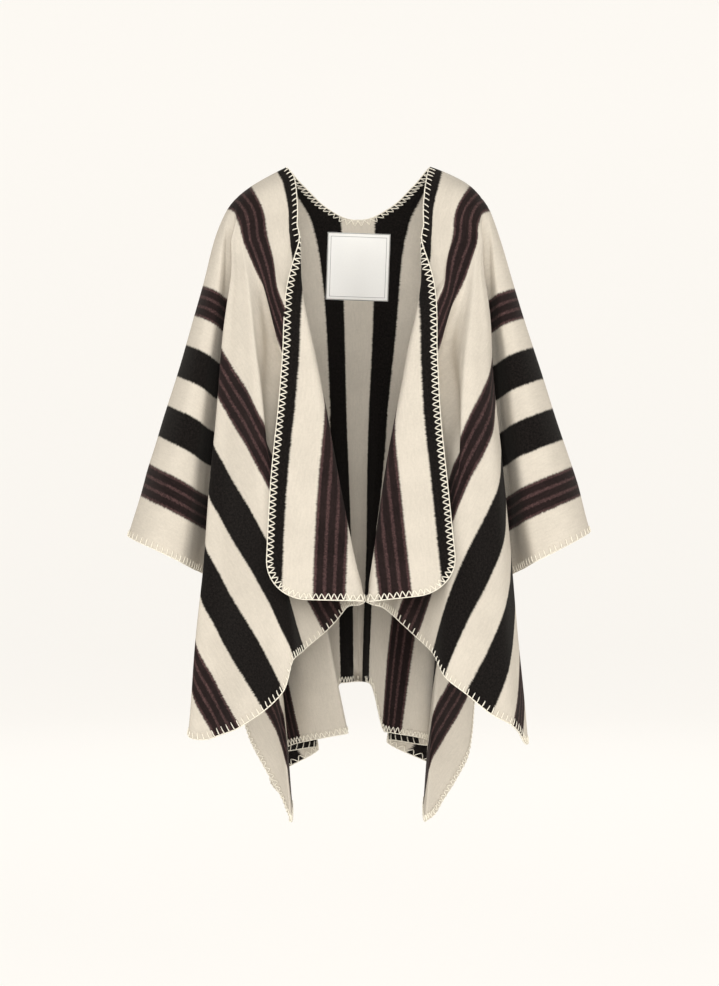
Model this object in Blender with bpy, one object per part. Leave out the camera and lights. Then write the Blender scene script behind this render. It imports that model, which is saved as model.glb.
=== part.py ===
"""Blanket cape: one rectangle of thick brushed wool with a front slit and a cut neck, worn open with both
front edges turned out as lapels, and a woven label patch sewn inside the back neck.

Frame: +X to the viewer's right, +Y away from the viewer, +Z up. The origin lies between the two points
where the cloth meets the sides of the neck, on the line along which the cape rests on the shoulders.
All dimensions and tables below are in centimetres and degrees. CM turns them into metres.
"""
import math

import bmesh
import bpy
import numpy as np
from mathutils.bvhtree import BVHTree

CM = 0.01

# The flat blanket. U is measured out from the centre line, V along the cloth from the shoulder line.
HALF_WIDTH = 74.3
FRONT_LENGTH = 75.3
BACK_LENGTH = 94.5
CORNER_RADIUS = 6.6
SLIT_HALF = 5.5
NECK_HALF = 6.0
NECK_DEPTH = 15.2
NECK_POWER = 2.4
WALL = 0.30

# The body under it: the cloth turns over the arm and the shoulder with this radius.
ARM_RADIUS = 4.6
NECK_RADIUS = 3.4
SHOULDER_U = 15.7
SHOULDER_X_LEFT = 19.6
SHOULDER_X_RIGHT = 19.2
SHOULDER_Z = -5.8
DOME_LEAN = -17.0
DOME_SPREAD = 0.75
DOME_REACH = 8.0
CHEST_DEPTH = 6.6
CHEST_REACH = 25.0
BACK_PLEAT = 3.2

# How far from each line the cloth is pulled to it: the shoulder line, the front edge and the back stripe.
LINE_PULL = 14.0
EDGE_PULL = 11.0
EDGE_TURN = 0.7
BACK_PULL = 14.0
BACK_PULL_LOW = 6.0
NECK_PULL = 5.0
STRIPE_OUTER_U = 8.1
STRIPE_INNER_U = 2.6

# The front edge folded outwards: the flat fold line runs from ROLL_TOP_V down to the hem.
ROLL_TOP_V = 12.0
ROLL_RUN_V = 63.3
ROLL_OUT_LEFT = 18.3
ROLL_OUT_RIGHT = 17.1
ROLL_BOW = 0.25
ROLL_LEAN = 14.5
ROLL_RADIUS_TOP = 0.5
ROLL_RADIUS_HEM = 1.15
LAPEL_TURN = 187.0

# The label patch.
LABEL_HALF_WIDTH = 5.3
LABEL_HEIGHT = 11.2
LABEL_DROP = 2.3
LABEL_TILT = 2.0
LABEL_THICK = 0.08
LABEL_GAP = 0.04

# How finely the cloth is divided. Rays leave the point of the shoulder, at these directions in the flat
# cloth, then to these places on the front edge, the back centre line and the neck. Rings are shares of a ray.
FRONT_TURNS = (0.35, 1.3, 2.8, 4.8, 7.4, 10.5, 14, 17, 20, 23, 26, 28.5, 31, 33.5, 36, 38, 40, 42, 44, 46, 47.5,
               49, 50.2, 51.4, 52.8, 54.4, 55.8, 57.3, 58.6, 60, 61.6, 63.3, 65, 66.6, 68.4, 70.4, 72.2, 73.9,
               75.8, 77.7, 80, 82.2)
ROLL_STOPS = (75.3, 71, 66.5, 62, 57.5, 53, 48.5, 44, 39.5, 35, 31, 27, 23, 19, 15.5, 12)
EDGE_STOPS = (9, 6, 3.2, 1.2)
BACK_TURNS = (0.35, 1.3, 2.8, 4.8, 7.4, 10.5, 13.5, 16.5, 19.5, 22, 24.2, 26.5, 29, 31.5, 33.5, 35.6, 37.5, 39,
              41, 43, 45.2, 47.3, 49.5, 51.4, 53.5, 55.4, 56.8, 58.2, 60.2, 62.4, 64, 65.8, 67.6, 69.4, 71, 72.8,
              74.6, 76.4, 78.6, 81.5, 84.4, 86.9, 90, 93.3, 96.6)
CENTRE_STOPS = (94.5, 86, 77, 68, 60, 52, 45, 38, 32, 26, 21, 17.5)
NECK_STOPS = (15.2, 14.7, 13.3, 10.9, 7.8, 4.2, 1.3)
RINGS = (0.02, 0.05, 0.10, 0.17, 0.26, 0.38, 0.52, 0.68, 0.84, 1.0)
LAPEL_STEPS = 6
NECK_BEND = 3.0
NECK_BEND_RUN = 30.0
LABEL_COLUMNS = 13
LABEL_ROWS = 14

# Folds of the front, as rays from the point of the shoulder. turn: direction in the flat cloth, from the
# arm (0) through straight down (90) to the neck (180). lean: the same ray when worn, from straight down
# towards the centre line. out: depth gained per centimetre of ray, negative towards the viewer.
# reach: how far the ray gets, as a share of its flat length. Bends along it take up the rest.
FRONT_FOLDS = (
    # turn, lean_left, out_left, reach_left, lean_right, out_right, reach_right
    (0.0, -16.8, 0.00, 1.00, -17.6, 0.00, 1.00),
    (6.5, -11.6, -0.05, 1.00, -12.4, -0.04, 1.00),
    (10.5, -9.0, -0.04, 1.00, -9.4, -0.035, 1.00),
    (14.0, -7.4, 0.02, 1.00, -7.9, 0.02, 1.00),
    (18.0, -6.1, 0.085, 0.995, -6.7, 0.085, 0.995),
    (23.0, -2.6, 0.125, 0.99, -3.2, 0.125, 0.99),
    (27.0, 1.0, 0.145, 0.985, 0.4, 0.145, 0.985),
    (31.0, 3.2, 0.15, 0.98, 2.8, 0.15, 0.98),
    (35.0, 2.8, 0.10, 0.975, 2.6, 0.11, 0.975),
    (40.0, 0.0, 0.065, 0.97, 0.0, 0.07, 0.97),
    (44.0, -2.4, 0.045, 0.965, -2.4, 0.05, 0.97),
    (47.5, -4.3, 0.025, 0.96, -4.3, 0.035, 0.97),
    (51.0, -5.2, 0.005, 0.965, -5.4, 0.02, 0.98),
    (54.4, -2.4, -0.01, 0.975, -4.8, 0.00, 0.98),
    (57.3, 0.6, -0.04, 0.985, -3.6, -0.035, 0.985),
    (60.0, 3.2, -0.06, 0.985, -1.4, -0.055, 0.99),
    (63.3, 5.6, -0.075, 0.98, 1.5, -0.07, 0.98),
    (66.6, 7.2, -0.065, 0.945, 4.0, -0.065, 0.975),
    (70.4, 8.5, -0.015, 0.955, 5.6, -0.025, 0.955),
    (73.9, 11.2, 0.035, 0.95, 7.6, 0.03, 0.95),
    (77.7, 14.6, 0.065, 0.935, 11.0, 0.065, 0.935),
    (84.4, 17.6, -0.045, 0.96, 15.4, -0.045, 0.95),
    (97.5, 28.6, -0.04, 1.00, 25.0, -0.04, 1.00),
    (106.0, 36.5, 0.00, 1.00, 31.0, 0.00, 1.00),
    (117.0, 49.0, 0.02, 1.00, 45.0, 0.02, 1.00),
    (135.5, 66.0, 0.05, 1.00, 64.0, 0.05, 1.00),
    (180.0, 118.0, 0.00, 1.00, 118.0, 0.00, 1.00),
)

# Folds of the back, in the same terms, with out positive away from the viewer.
BACK_FOLDS = (
    # turn, lean_left, out_left, reach_left, lean_right, out_right, reach_right
    (0.0, -16.8, 0.00, 1.00, -17.6, 0.00, 1.00),
    (4.5, -15.6, 0.07, 1.00, -16.4, 0.06, 1.00),
    (9.0, -12.5, 0.115, 1.00, -13.0, 0.11, 1.00),
    (13.5, -8.5, 0.13, 1.00, -8.9, 0.13, 1.00),
    (18.0, -4.2, 0.115, 1.00, -4.6, 0.115, 1.00),
    (22.0, -1.0, 0.08, 0.995, -1.4, 0.08, 0.995),
    (25.5, 0.2, 0.045, 0.99, 0.0, 0.045, 0.99),
    (29.0, -0.9, 0.085, 0.99, -1.0, 0.09, 0.99),
    (33.5, -3.4, 0.145, 0.99, -3.2, 0.15, 0.99),
    (37.5, -4.0, 0.21, 0.985, -4.0, 0.21, 0.99),
    (40.0, -2.7, 0.24, 0.98, -3.0, 0.24, 0.99),
    (43.0, -0.8, 0.225, 0.975, -1.2, 0.225, 0.99),
    (47.3, -0.6, 0.17, 0.97, -0.5, 0.165, 0.99),
    (51.4, 0.7, 0.11, 0.96, 0.2, 0.12, 0.99),
    (53.5, 2.5, 0.08, 0.97, 1.5, 0.09, 0.985),
    (55.2, 4.0, 0.06, 0.98, 3.0, 0.065, 0.985),
    (57.5, 4.6, 0.045, 0.975, 4.3, 0.045, 0.975),
    (61.0, 4.7, 0.09, 0.976, 4.5, 0.095, 0.972),
    (65.0, 2.6, 0.155, 0.976, 1.8, 0.165, 0.97),
    (70.4, 7.8, 0.20, 0.976, 8.8, 0.215, 0.97),
    (75.2, 3.9, 0.14, 0.982, 4.6, 0.17, 0.98),
    (78.6, 5.4, 0.12, 0.98, 3.8, 0.145, 0.985),
    (81.5, 7.2, 0.095, 0.98, 4.2, 0.135, 0.985),
    (84.4, 9.6, 0.07, 0.98, 5.0, 0.125, 0.985),
    (86.9, 11.5, 0.05, 0.98, 6.4, 0.12, 0.985),
    (90.0, 10.4, 0.08, 0.985, 9.2, 0.10, 0.985),
    (95.7, 12.2, 0.13, 0.985, 12.6, 0.07, 0.985),
    (104.0, 20.0, 0.13, 1.00, 20.0, 0.08, 1.00),
    (132.0, 58.0, 0.10, 1.00, 58.0, 0.10, 1.00),
    (180.0, 118.0, 0.00, 1.00, 118.0, 0.00, 1.00),
)

# Directions of the folds that are missing close to the shoulder and open further down.
LATE_FRONT = (60.0, 63.3, 66.6, 70.4, 73.9, 77.7)
LATE_BACK = (29.0, 33.5, 65.0, 70.4, 75.2, 78.6)
LATE_FRONT_FROM = 4.0
LATE_FRONT_OVER = 26.0
LATE_BACK_FROM = 8.0
LATE_BACK_OVER = 34.0

# The shoulder and sleeve line seen from the front: distance out from the centre, and height.
RIDGE = (
    # flat_u, side_left, height_left, side_right, height_right
    (5.9, 11.7, 0.1, 11.8, 0.1),
    (8.1, 13.4, -0.7, 13.9, -0.7),
    (13.0, 17.6, -3.0, 18.3, -3.0),
    (15.7, 19.8, -4.8, 20.2, -4.9),
    (18.3, 21.5, -6.9, 21.8, -7.2),
    (23.0, 23.3, -11.2, 23.4, -11.7),
    (31.5, 25.5, -19.5, 25.7, -20.0),
    (47.0, 29.7, -34.4, 30.4, -34.8),
    (62.4, 34.2, -48.8, 35.1, -49.3),
    (74.3, 37.9, -60.7, 38.3, -60.0),
)

# The front edge down to where it starts to turn out, then the line at which the lapel starts to roll.
FRONT_EDGE = (
    # flat_v, side_left, side_right, height, depth
    (0.0, 11.7, 11.8, 0.1, 0.0),
    (3.3, 10.5, 11.3, -2.0, -2.3),
    (6.6, 10.1, 10.9, -4.7, -4.2),
    (9.9, 9.9, 10.7, -7.9, -5.5),
    (13.2, 10.0, 10.8, -11.4, -6.4),
    (20.0, 9.9, 11.0, -18.3, -7.7),
    (33.7, 7.7, 8.8, -32.0, -9.8),
    (50.5, 4.8, 5.9, -48.2, -12.8),
    (64.0, 2.2, 4.0, -61.0, -15.2),
    (75.3, 0.0, 2.7, -71.3, -16.7),
)

# The back inside the shoulders: how far out two stripes' edges lie, and the shape down the centre line.
BACK_CENTRE = (
    # flat_v, side_left_8, side_right_8, side_left_3, side_right_3, height, depth
    (0.0, 13.4, 13.9, 6.4, 6.4, -0.7, 0.0),
    (5.0, 11.3, 11.7, 4.8, 4.8, -2.5, 3.6),
    (10.0, 9.5, 10.2, 3.7, 3.7, -4.9, 6.4),
    (15.2, 7.9, 8.8, 2.8, 2.8, -7.75, 7.9),
    (21.0, 6.5, 7.5, 2.6, 2.7, -13.4, 9.4),
    (32.0, 5.4, 6.6, 2.3, 2.5, -24.2, 11.4),
    (50.0, 4.6, 4.8, 1.9, 1.8, -42.0, 13.6),
    (72.0, 3.7, 2.9, 1.2, 1.4, -63.9, 15.6),
    (84.0, 3.3, 2.1, 0.9, 1.2, -75.9, 16.4),
    (94.5, 3.1, 1.8, 0.8, 1.1, -86.2, 16.8),
)


def column(table, index):
    return np.array([row[index] for row in table], dtype=float)


def through(x, xs, ys):
    """Smooth curve through the rows of a table that never overshoots them."""
    x = np.clip(np.asarray(x, dtype=float), xs[0], xs[-1])
    step = np.diff(xs)
    rise = np.diff(ys) / step
    slope = np.zeros(len(xs))
    for k in range(1, len(xs) - 1):
        if rise[k - 1] * rise[k] > 0:
            w1 = 2 * step[k] + step[k - 1]
            w2 = step[k] + 2 * step[k - 1]
            slope[k] = (w1 + w2) / (w1 / rise[k - 1] + w2 / rise[k])
    slope[0] = rise[0]
    slope[-1] = rise[-1]
    k = np.clip(np.searchsorted(xs, x, side="right") - 1, 0, len(xs) - 2)
    t = (x - xs[k]) / step[k]
    h = step[k]
    a = (1 + 2 * t) * (1 - t) ** 2
    b = t * (1 - t) ** 2
    c = t * t * (3 - 2 * t)
    d = t * t * (t - 1)
    return a * ys[k] + b * h * slope[k] + c * ys[k + 1] + d * h * slope[k + 1]


def ease(t):
    t = np.clip(t, 0.0, 1.0)
    return t * t * (3 - 2 * t)


def ridge(side, u):
    """Shoulder and sleeve line: distance out and height at a flat distance from the centre."""
    left = side < 0
    xs = column(RIDGE, 0)
    out = through(u, xs, column(RIDGE, 1 if left else 3))
    height = through(u, xs, column(RIDGE, 2 if left else 4))
    return out, height


def wrap_radius(u):
    return NECK_RADIUS + (ARM_RADIUS - NECK_RADIUS) * ease((u - 6.0) / 10.0)


def rays(side, face, u, v):
    """Cloth hanging in folds from the point of one shoulder. face is -1 for the front, 1 for the back."""
    left = side < 0
    table = FRONT_FOLDS if face < 0 else BACK_FOLDS
    radius = wrap_radius(u)
    wrap = np.minimum(v / radius, math.pi / 2)
    down = radius * (1 - np.cos(wrap)) + np.maximum(v - radius * math.pi / 2, 0.0)
    depth = radius * np.sin(wrap)
    along = u - SHOULDER_U
    r = np.hypot(along, down)
    turn = np.degrees(np.arctan2(down, along))
    xs = column(table, 0)
    first = 1 if left else 4
    lean = np.radians(through(turn, xs, column(table, first)))
    out = through(turn, xs, column(table, first + 1))
    reach = through(turn, xs, column(table, first + 2))
    if face < 0:
        rows = [row for row in table if row[0] not in LATE_FRONT]
        open_up = ease((r - LATE_FRONT_FROM) / LATE_FRONT_OVER)
    else:
        rows = [row for row in table if row[0] not in LATE_BACK]
        open_up = ease((r - LATE_BACK_FROM) / LATE_BACK_OVER)
    plain = np.radians(through(turn, column(rows, 0), column(rows, first)))
    lean = plain + (lean - plain) * open_up
    plain = through(turn, column(rows, 0), column(rows, first + 1))
    out = plain + (out - plain) * open_up
    # Close to the shoulder point the folds fade into a plain dome.
    near = math.radians(DOME_LEAN) + np.radians(turn) * DOME_SPREAD
    open_up = ease(r / DOME_REACH)
    lean = near + (lean - near) * open_up
    out = out * open_up
    flat_r = r * reach * np.sqrt(1 - out * out)
    chest = ease((turn - 30.0) / 40.0) * (1 - np.exp(-r / CHEST_REACH)) * ease(down / 12.0)
    if face < 0:
        y = -depth + out * r - CHEST_DEPTH * chest
    else:
        y = depth + out * r
    shoulder_x = SHOULDER_X_LEFT if left else SHOULDER_X_RIGHT
    x = shoulder_x - flat_r * np.sin(lean)
    z = SHOULDER_Z - flat_r * np.cos(lean)
    return x, y, z


def sheet_out(side, u, v):
    """Worn place of a flat point before the lapel turns: x is the distance out from the centre line."""
    u = np.asarray(u, dtype=float)
    v = np.asarray(v, dtype=float)
    left = side < 0
    front = v >= 0
    depth_v = np.abs(v)
    xf, yf, zf = rays(side, -1, u, depth_v)
    xb, yb, zb = rays(side, 1, u, depth_v)
    # Both faces start on the same shoulder line.
    side_out, height = ridge(side, u)
    x_line, y_line, z_line = rays(side, -1, u, np.zeros_like(u))
    hold = 1 - ease(depth_v / LINE_PULL)
    xf = xf + (side_out - x_line) * hold
    zf = zf + (height - z_line) * hold
    xb = xb + (side_out - x_line) * hold
    zb = zb + (height - z_line) * hold
    # The front is held by its edge and by the line of the lapel's roll.
    inner = roll_line(side, depth_v)
    vs = column(FRONT_EDGE, 0)
    ex = through(depth_v, vs, column(FRONT_EDGE, 1 if left else 2))
    ez = through(depth_v, vs, column(FRONT_EDGE, 3))
    ey = through(depth_v, vs, column(FRONT_EDGE, 4))
    ix, iy, iz = rays(side, -1, inner, depth_v)
    ro, rh = ridge(side, inner)
    rx, ry, rz = rays(side, -1, inner, np.zeros_like(u))
    ix = ix + (ro - rx) * hold
    iz = iz + (rh - rz) * hold
    pull = 1 - ease((u - inner) / EDGE_PULL)
    # Just above the roll the edge already turns away from the chest.
    turned = EDGE_TURN * ease((depth_v - 3.0) / 6.0) * (1 - ease((depth_v - 13.0) / 9.0))
    beside = ease((u - inner) / 3.0) * (1 - ease((u - inner - 3.0) / 8.0))
    xf = xf + (ex - ix) * pull - turned * beside
    yf = yf + (ey - iy) * pull + turned * beside
    zf = zf + (ez - iz) * pull
    # The middle of the back hangs from the neck.
    vs = column(BACK_CENTRE, 0)
    x8 = through(depth_v, vs, column(BACK_CENTRE, 1 if left else 2))
    x3 = through(depth_v, vs, column(BACK_CENTRE, 3 if left else 4))
    cz = through(depth_v, vs, column(BACK_CENTRE, 5))
    cy = through(depth_v, vs, column(BACK_CENTRE, 6))
    x8_top = BACK_CENTRE[0][1 if left else 2]
    x3_top = BACK_CENTRE[0][3 if left else 4]
    z_top = BACK_CENTRE[0][5]
    k = np.full_like(u, STRIPE_OUTER_U)
    jx, jy, jz = rays(side, 1, k, depth_v)
    ro, rh = ridge(side, k)
    rx, ry, rz = rays(side, 1, k, np.zeros_like(u))
    jx = jx + (ro - rx) * hold
    jz = jz + (rh - rz) * hold
    pull = 1 - ease((u - STRIPE_OUTER_U) / BACK_PULL)
    xo = xb + (x8 - jx) * pull
    yo = yb + (cy - jy) * pull
    reach = BACK_PULL + (BACK_PULL_LOW - BACK_PULL) * ease((depth_v - 20.0) / 55.0)
    lift = 1 - ease((u - STRIPE_OUTER_U) / reach)
    zo = zb + (cz - jz) * lift
    inside = u < STRIPE_OUTER_U
    t = np.clip(u / STRIPE_OUTER_U, 0, 1)
    m = STRIPE_INNER_U / STRIPE_OUTER_U
    xi = x8 * t + (x3 - x8 * m) * t * (1 - t) / (m * (1 - m))
    pleat = BACK_PLEAT * ease((depth_v - 20.0) / 60.0) * (1 - t * t) ** 2
    # At the neck it starts on the shoulder line too.
    start = 1 - ease(depth_v / NECK_PULL)
    top = x8_top * t + (x3_top - x8_top * m) * t * (1 - t) / (m * (1 - m))
    xi = xi + (side_out - top) * start
    zi = cz + (height - z_top) * start
    xb = np.where(inside, xi, xo)
    yb = np.where(inside, cy + pleat, yo)
    zb = np.where(inside, zi, zo)
    x = np.where(front, xf, xb)
    y = np.where(front, yf, yb)
    z = np.where(front, zf, zb)
    return x, y, z


def roll_line(side, v):
    """Flat place of the fold line of the lapel."""
    t = np.clip((np.asarray(v, dtype=float) - ROLL_TOP_V) / ROLL_RUN_V, 0.0, 1.0)
    out = ROLL_OUT_LEFT if side < 0 else ROLL_OUT_RIGHT
    return edge_line(v) + out * (t + ROLL_BOW * t * (1 - t))


def edge_line(v):
    """Flat place of the front edge."""
    return SLIT_HALF + (NECK_HALF - SLIT_HALF) * np.exp(-np.asarray(v, dtype=float) / 4.0)


def neck_line(v):
    """Flat half width of the neck hole at a distance behind the shoulder line."""
    t = np.clip(np.asarray(v, dtype=float) / NECK_DEPTH, 0.0, 1.0)
    return NECK_HALF * (1 - t ** NECK_POWER) ** (1 / NECK_POWER)


def lapel(side, foot_v, run):
    """Worn place of a point past the roll line: foot_v is where it turns, run its distance from there."""
    fx, fy, fz = sheet_out(side, roll_line(side, foot_v), foot_v)
    gx, gy, gz = sheet_out(side, roll_line(side, foot_v - 1.0), foot_v - 1.0)
    # Across the roll, towards the centre and level with the front.
    ax, az = fz - gz, gx - fx
    norm = np.hypot(ax, az)
    ax, az = ax / norm, az / norm
    share = np.clip((foot_v - ROLL_TOP_V) / ROLL_RUN_V, 0.0, 1.0)
    radius = ROLL_RADIUS_TOP + (ROLL_RADIUS_HEM - ROLL_RADIUS_TOP) * ease(share * 2.0)
    full = math.radians(LAPEL_TURN)
    angle = np.minimum(run / radius, full)
    rest = np.maximum(run - radius * full, 0.0)
    reach = radius * np.sin(angle) + rest * math.cos(full)
    front = radius * (1 - np.cos(angle)) + rest * math.sin(full)
    return (fx + ax * reach) * side, fy - front, fz + az * reach


def lapel_flat(side, foot_v, run):
    """Flat place of the same point."""
    lean = math.radians(ROLL_LEAN)
    v = foot_v + run * math.sin(lean)
    return roll_line(side, v) - run / math.cos(lean), v


def worn(side, u, v):
    """Worn place of a flat point of the body. side is -1 for the viewer's left and 1 for the right."""
    x, y, z = sheet_out(side, u, v)
    return x * side, y, z


def hem(length, u):
    """Length of the cloth at a distance from the centre line, with the outer corner rounded."""
    d = np.clip(u - (HALF_WIDTH - CORNER_RADIUS), 0.0, CORNER_RADIUS)
    return length - CORNER_RADIUS + np.sqrt(CORNER_RADIUS ** 2 - d ** 2)


def flat_on_ray(face, turn, r):
    """Flat point at a distance along a ray. face is -1 for the front and 1 for the back."""
    angle = math.radians(turn)
    u = SHOULDER_U + r * math.cos(angle)
    down = r * math.sin(angle)
    radius = float(wrap_radius(u))
    if down < radius:
        v = radius * math.acos(1 - down / radius)
    else:
        v = down + (math.pi / 2 - 1) * radius
    return u, -v * face


def bend(kind, stop):
    """How far down the back a ray bows, so that the rays beside the neck pass round its hole."""
    if kind == "neck":
        return NECK_BEND * (1 - float(neck_line(stop)) / NECK_HALF) ** 1.8
    if kind == "centre":
        return NECK_BEND * float(1 - ease((stop - NECK_DEPTH) / NECK_BEND_RUN))
    return 0.0


def in_body(side, u, v):
    if u > HALF_WIDTH:
        return False
    if v >= 0:
        return v <= float(hem(FRONT_LENGTH, u)) and u >= float(roll_line(side, v))
    if u < 0 or -v > float(hem(BACK_LENGTH, u)):
        return False
    return -v > NECK_DEPTH or u >= float(neck_line(-v))


def ray_length(side, face, turn):
    low, high = 0.0, 140.0
    for _ in range(48):
        mid = (low + high) / 2
        if in_body(side, *flat_on_ray(face, turn, mid)):
            low = mid
        else:
            high = mid
    return low


def aim(u, v):
    """Direction and length of the ray to a flat point."""
    radius = float(wrap_radius(u))
    v = abs(v)
    if v < radius * math.pi / 2:
        down = radius * (1 - math.cos(v / radius))
    else:
        down = v - (math.pi / 2 - 1) * radius
    return math.degrees(math.atan2(down, u - SHOULDER_U)), math.hypot(u - SHOULDER_U, down)


def ray_list(side):
    """All rays of one half as (face, turn, length, kind, stop), from the neck over the front to the back."""
    rays_out = [(-1, 180.0, SHOULDER_U - NECK_HALF, "edge", 0.0)]
    for v in reversed(EDGE_STOPS):
        rays_out.append((-1,) + aim(float(edge_line(v)), v) + ("edge", v))
    for v in reversed(ROLL_STOPS):
        rays_out.append((-1,) + aim(float(roll_line(side, v)), v) + ("roll", v))
    for turn in reversed(FRONT_TURNS):
        rays_out.append((-1, turn, ray_length(side, -1, turn), "hem", 0.0))
    rays_out.append((-1, 0.0, HALF_WIDTH - SHOULDER_U, "hem", 0.0))
    for turn in BACK_TURNS:
        rays_out.append((1, turn, ray_length(side, 1, turn), "hem", 0.0))
    for v in CENTRE_STOPS:
        rays_out.append((1,) + aim(0.0, v) + ("centre", v))
    for v in NECK_STOPS:
        kind = "centre" if v == NECK_DEPTH else "neck"
        rays_out.append((1,) + aim(float(neck_line(v)), v) + (kind, v))
    return rays_out


def lapel_width(side, foot_v):
    """How far the lapel runs from its roll line before it meets the front edge or the hem."""
    low, high = 0.0, 30.0
    for _ in range(48):
        mid = (low + high) / 2
        u, v = lapel_flat(side, foot_v, mid)
        near = min(max(SLIT_HALF + CORNER_RADIUS - u, 0.0), CORNER_RADIUS)
        bottom = FRONT_LENGTH - CORNER_RADIUS + math.sqrt(CORNER_RADIUS ** 2 - near ** 2)
        if u >= float(edge_line(v)) and v <= bottom:
            low = mid
        else:
            high = mid
    return low


def cloth_points():
    """Points of the whole blanket and its faces. The two halves share the centre line of the back."""
    points = []
    faces = []
    centre = {}

    def add(x, y, z):
        first = len(points)
        points.extend(zip(x * CM, y * CM, z * CM))
        return list(range(first, len(points)))

    for side in (-1, 1):
        listed = ray_list(side)
        flat = [(SHOULDER_U, 0.0)]
        for face, turn, length, kind, stop in listed:
            bow = 4 * bend(kind, stop)
            for share in RINGS:
                u, v = flat_on_ray(face, turn, length * share)
                flat.append((u, v - bow * share * (1 - share)))
        flat = np.array(flat)
        made = add(*worn(side, flat[:, 0], flat[:, 1]))
        hub = made[0]
        grid = []
        for i, (face, turn, length, kind, stop) in enumerate(listed):
            first = 1 + i * len(RINGS)
            line = made[first:first + len(RINGS)]
            if kind == "centre":
                line[-1] = centre.setdefault(stop, line[-1])
            grid.append(line)
        for a, b in zip(grid, grid[1:] + grid[:1]):
            ring = [(hub, a[0], b[0])]
            for j in range(len(RINGS) - 1):
                ring.append((a[j], a[j + 1], b[j + 1], b[j]))
            faces += [f if side < 0 else tuple(reversed(f)) for f in ring]
        # The lapel leaves the body along the roll line.
        rows = []
        for line, (face, turn, length, kind, stop) in zip(grid, listed):
            if kind == "edge" and stop == EDGE_STOPS[0]:
                rows.append([line[-1]])
            if kind != "roll":
                continue
            width = lapel_width(side, stop)
            row = [line[-1]]
            if width > 0.2:
                runs = width * np.arange(1, LAPEL_STEPS + 1) / LAPEL_STEPS
                row += add(*lapel(side, np.full(LAPEL_STEPS, float(stop)), runs))
            rows.append(row)
        for a, b in zip(rows[:-1], rows[1:]):
            if len(a) == 1 and len(b) == 1:
                continue
            strip = []
            for j in range(LAPEL_STEPS):
                if len(a) == 1:
                    strip.append((a[0], b[j + 1], b[j]))
                elif len(b) == 1:
                    strip.append((a[j], a[j + 1], b[0]))
                else:
                    strip.append((a[j], a[j + 1], b[j + 1], b[j]))
            faces += [f if side < 0 else tuple(reversed(f)) for f in strip]
    points, faces = tidy_points(np.array(points), faces)
    return points, split_quads(points, faces)


def tidy_points(points, faces):
    """Leaves out points that no face uses."""
    used = sorted({k for face in faces for k in face})
    place = {old: new for new, old in enumerate(used)}
    return points[used], [tuple(place[k] for k in face) for face in faces]


def split_quads(points, faces):
    """Cuts every four-sided face along its shorter diagonal, which suits folded cloth best."""
    triangles = []
    for face in faces:
        if len(face) == 3:
            triangles.append(face)
            continue
        a, b, c, d = face
        if np.linalg.norm(points[a] - points[c]) < np.linalg.norm(points[b] - points[d]):
            triangles += [(a, b, c), (a, c, d)]
        else:
            triangles += [(a, b, d), (b, c, d)]
    return triangles


def normals_of(points, faces):
    total = np.zeros_like(points)
    for face in faces:
        p = points[list(face)]
        n = np.cross(p[1] - p[0], p[2] - p[0])
        if len(face) == 4:
            n = np.cross(p[2] - p[0], p[3] - p[1])
        for k in face:
            total[k] += n
    return total / np.linalg.norm(total, axis=1)[:, None]


def thicken(points, sheet, low, high):
    """Closed wall between two offsets of a surface along its own normals, in metres."""
    normals = normals_of(points, sheet)
    count = len(points)
    verts = [tuple(p) for p in points + normals * high] + [tuple(p) for p in points + normals * low]
    faces = list(sheet) + [tuple(k + count for k in reversed(f)) for f in sheet]
    edges = set()
    for face in sheet:
        for k in range(len(face)):
            edges.add((face[k], face[(k + 1) % len(face)]))
    for a, b in sorted(edges):
        if (b, a) not in edges:
            faces.append((b, a, a + count, b + count))
    return verts, faces


def make_object(name, verts, faces, colour):
    mesh = bpy.data.meshes.new(name)
    bm = bmesh.new()
    made = [bm.verts.new(v) for v in verts]
    for face in faces:
        bm.faces.new([made[k] for k in face])
    bmesh.ops.recalc_face_normals(bm, faces=bm.faces)
    bm.to_mesh(mesh)
    bm.free()
    material = bpy.data.materials.new(name)
    material.use_nodes = True
    shader = material.node_tree.nodes["Principled BSDF"]
    shader.inputs["Base Color"].default_value = colour
    shader.inputs["Roughness"].default_value = 0.9
    mesh.materials.append(material)
    obj = bpy.data.objects.new(name, mesh)
    bpy.context.collection.objects.link(obj)
    return obj


def label_points(verts, faces):
    """Grid of points just in front of the inner face of the back neck, which is given as a mesh."""
    cloth = BVHTree.FromPolygons(verts, faces)
    tilt = math.tan(math.radians(LABEL_TILT))
    points = []
    quads = []
    for j in range(LABEL_ROWS + 1):
        for i in range(LABEL_COLUMNS + 1):
            across = LABEL_HALF_WIDTH * (2 * i / LABEL_COLUMNS - 1)
            down = LABEL_HEIGHT * (j / LABEL_ROWS - 0.5)
            v = NECK_DEPTH + LABEL_DROP + LABEL_HEIGHT / 2 + down + across * tilt
            height = float(worn(1, np.array([0.0]), np.array([-v]))[2][0])
            place = cloth.ray_cast(((across - down * tilt) * CM, 0.0, height * CM), (0, 1, 0))[0]
            points.append((place.x, place.y - LABEL_GAP * CM, place.z))
    for j in range(LABEL_ROWS):
        for i in range(LABEL_COLUMNS):
            a = j * (LABEL_COLUMNS + 1) + i
            quads.append((a, a + 1, a + LABEL_COLUMNS + 2, a + LABEL_COLUMNS + 1))
    return np.array(points), quads


def main():
    for obj in list(bpy.data.objects):
        bpy.data.objects.remove(obj)
    points, quads = cloth_points()
    half = WALL * CM / 2
    verts, faces = thicken(points, quads, -half, half)
    make_object("cape_body", verts, faces, (0.75, 0.66, 0.52, 1.0))
    points, quads = label_points(verts, faces)
    verts, faces = thicken(points, quads, -LABEL_THICK * CM, 0.0)
    make_object("neck_label", verts, faces, (0.90, 0.88, 0.83, 1.0))


if __name__ == "__main__":
    main()
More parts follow.
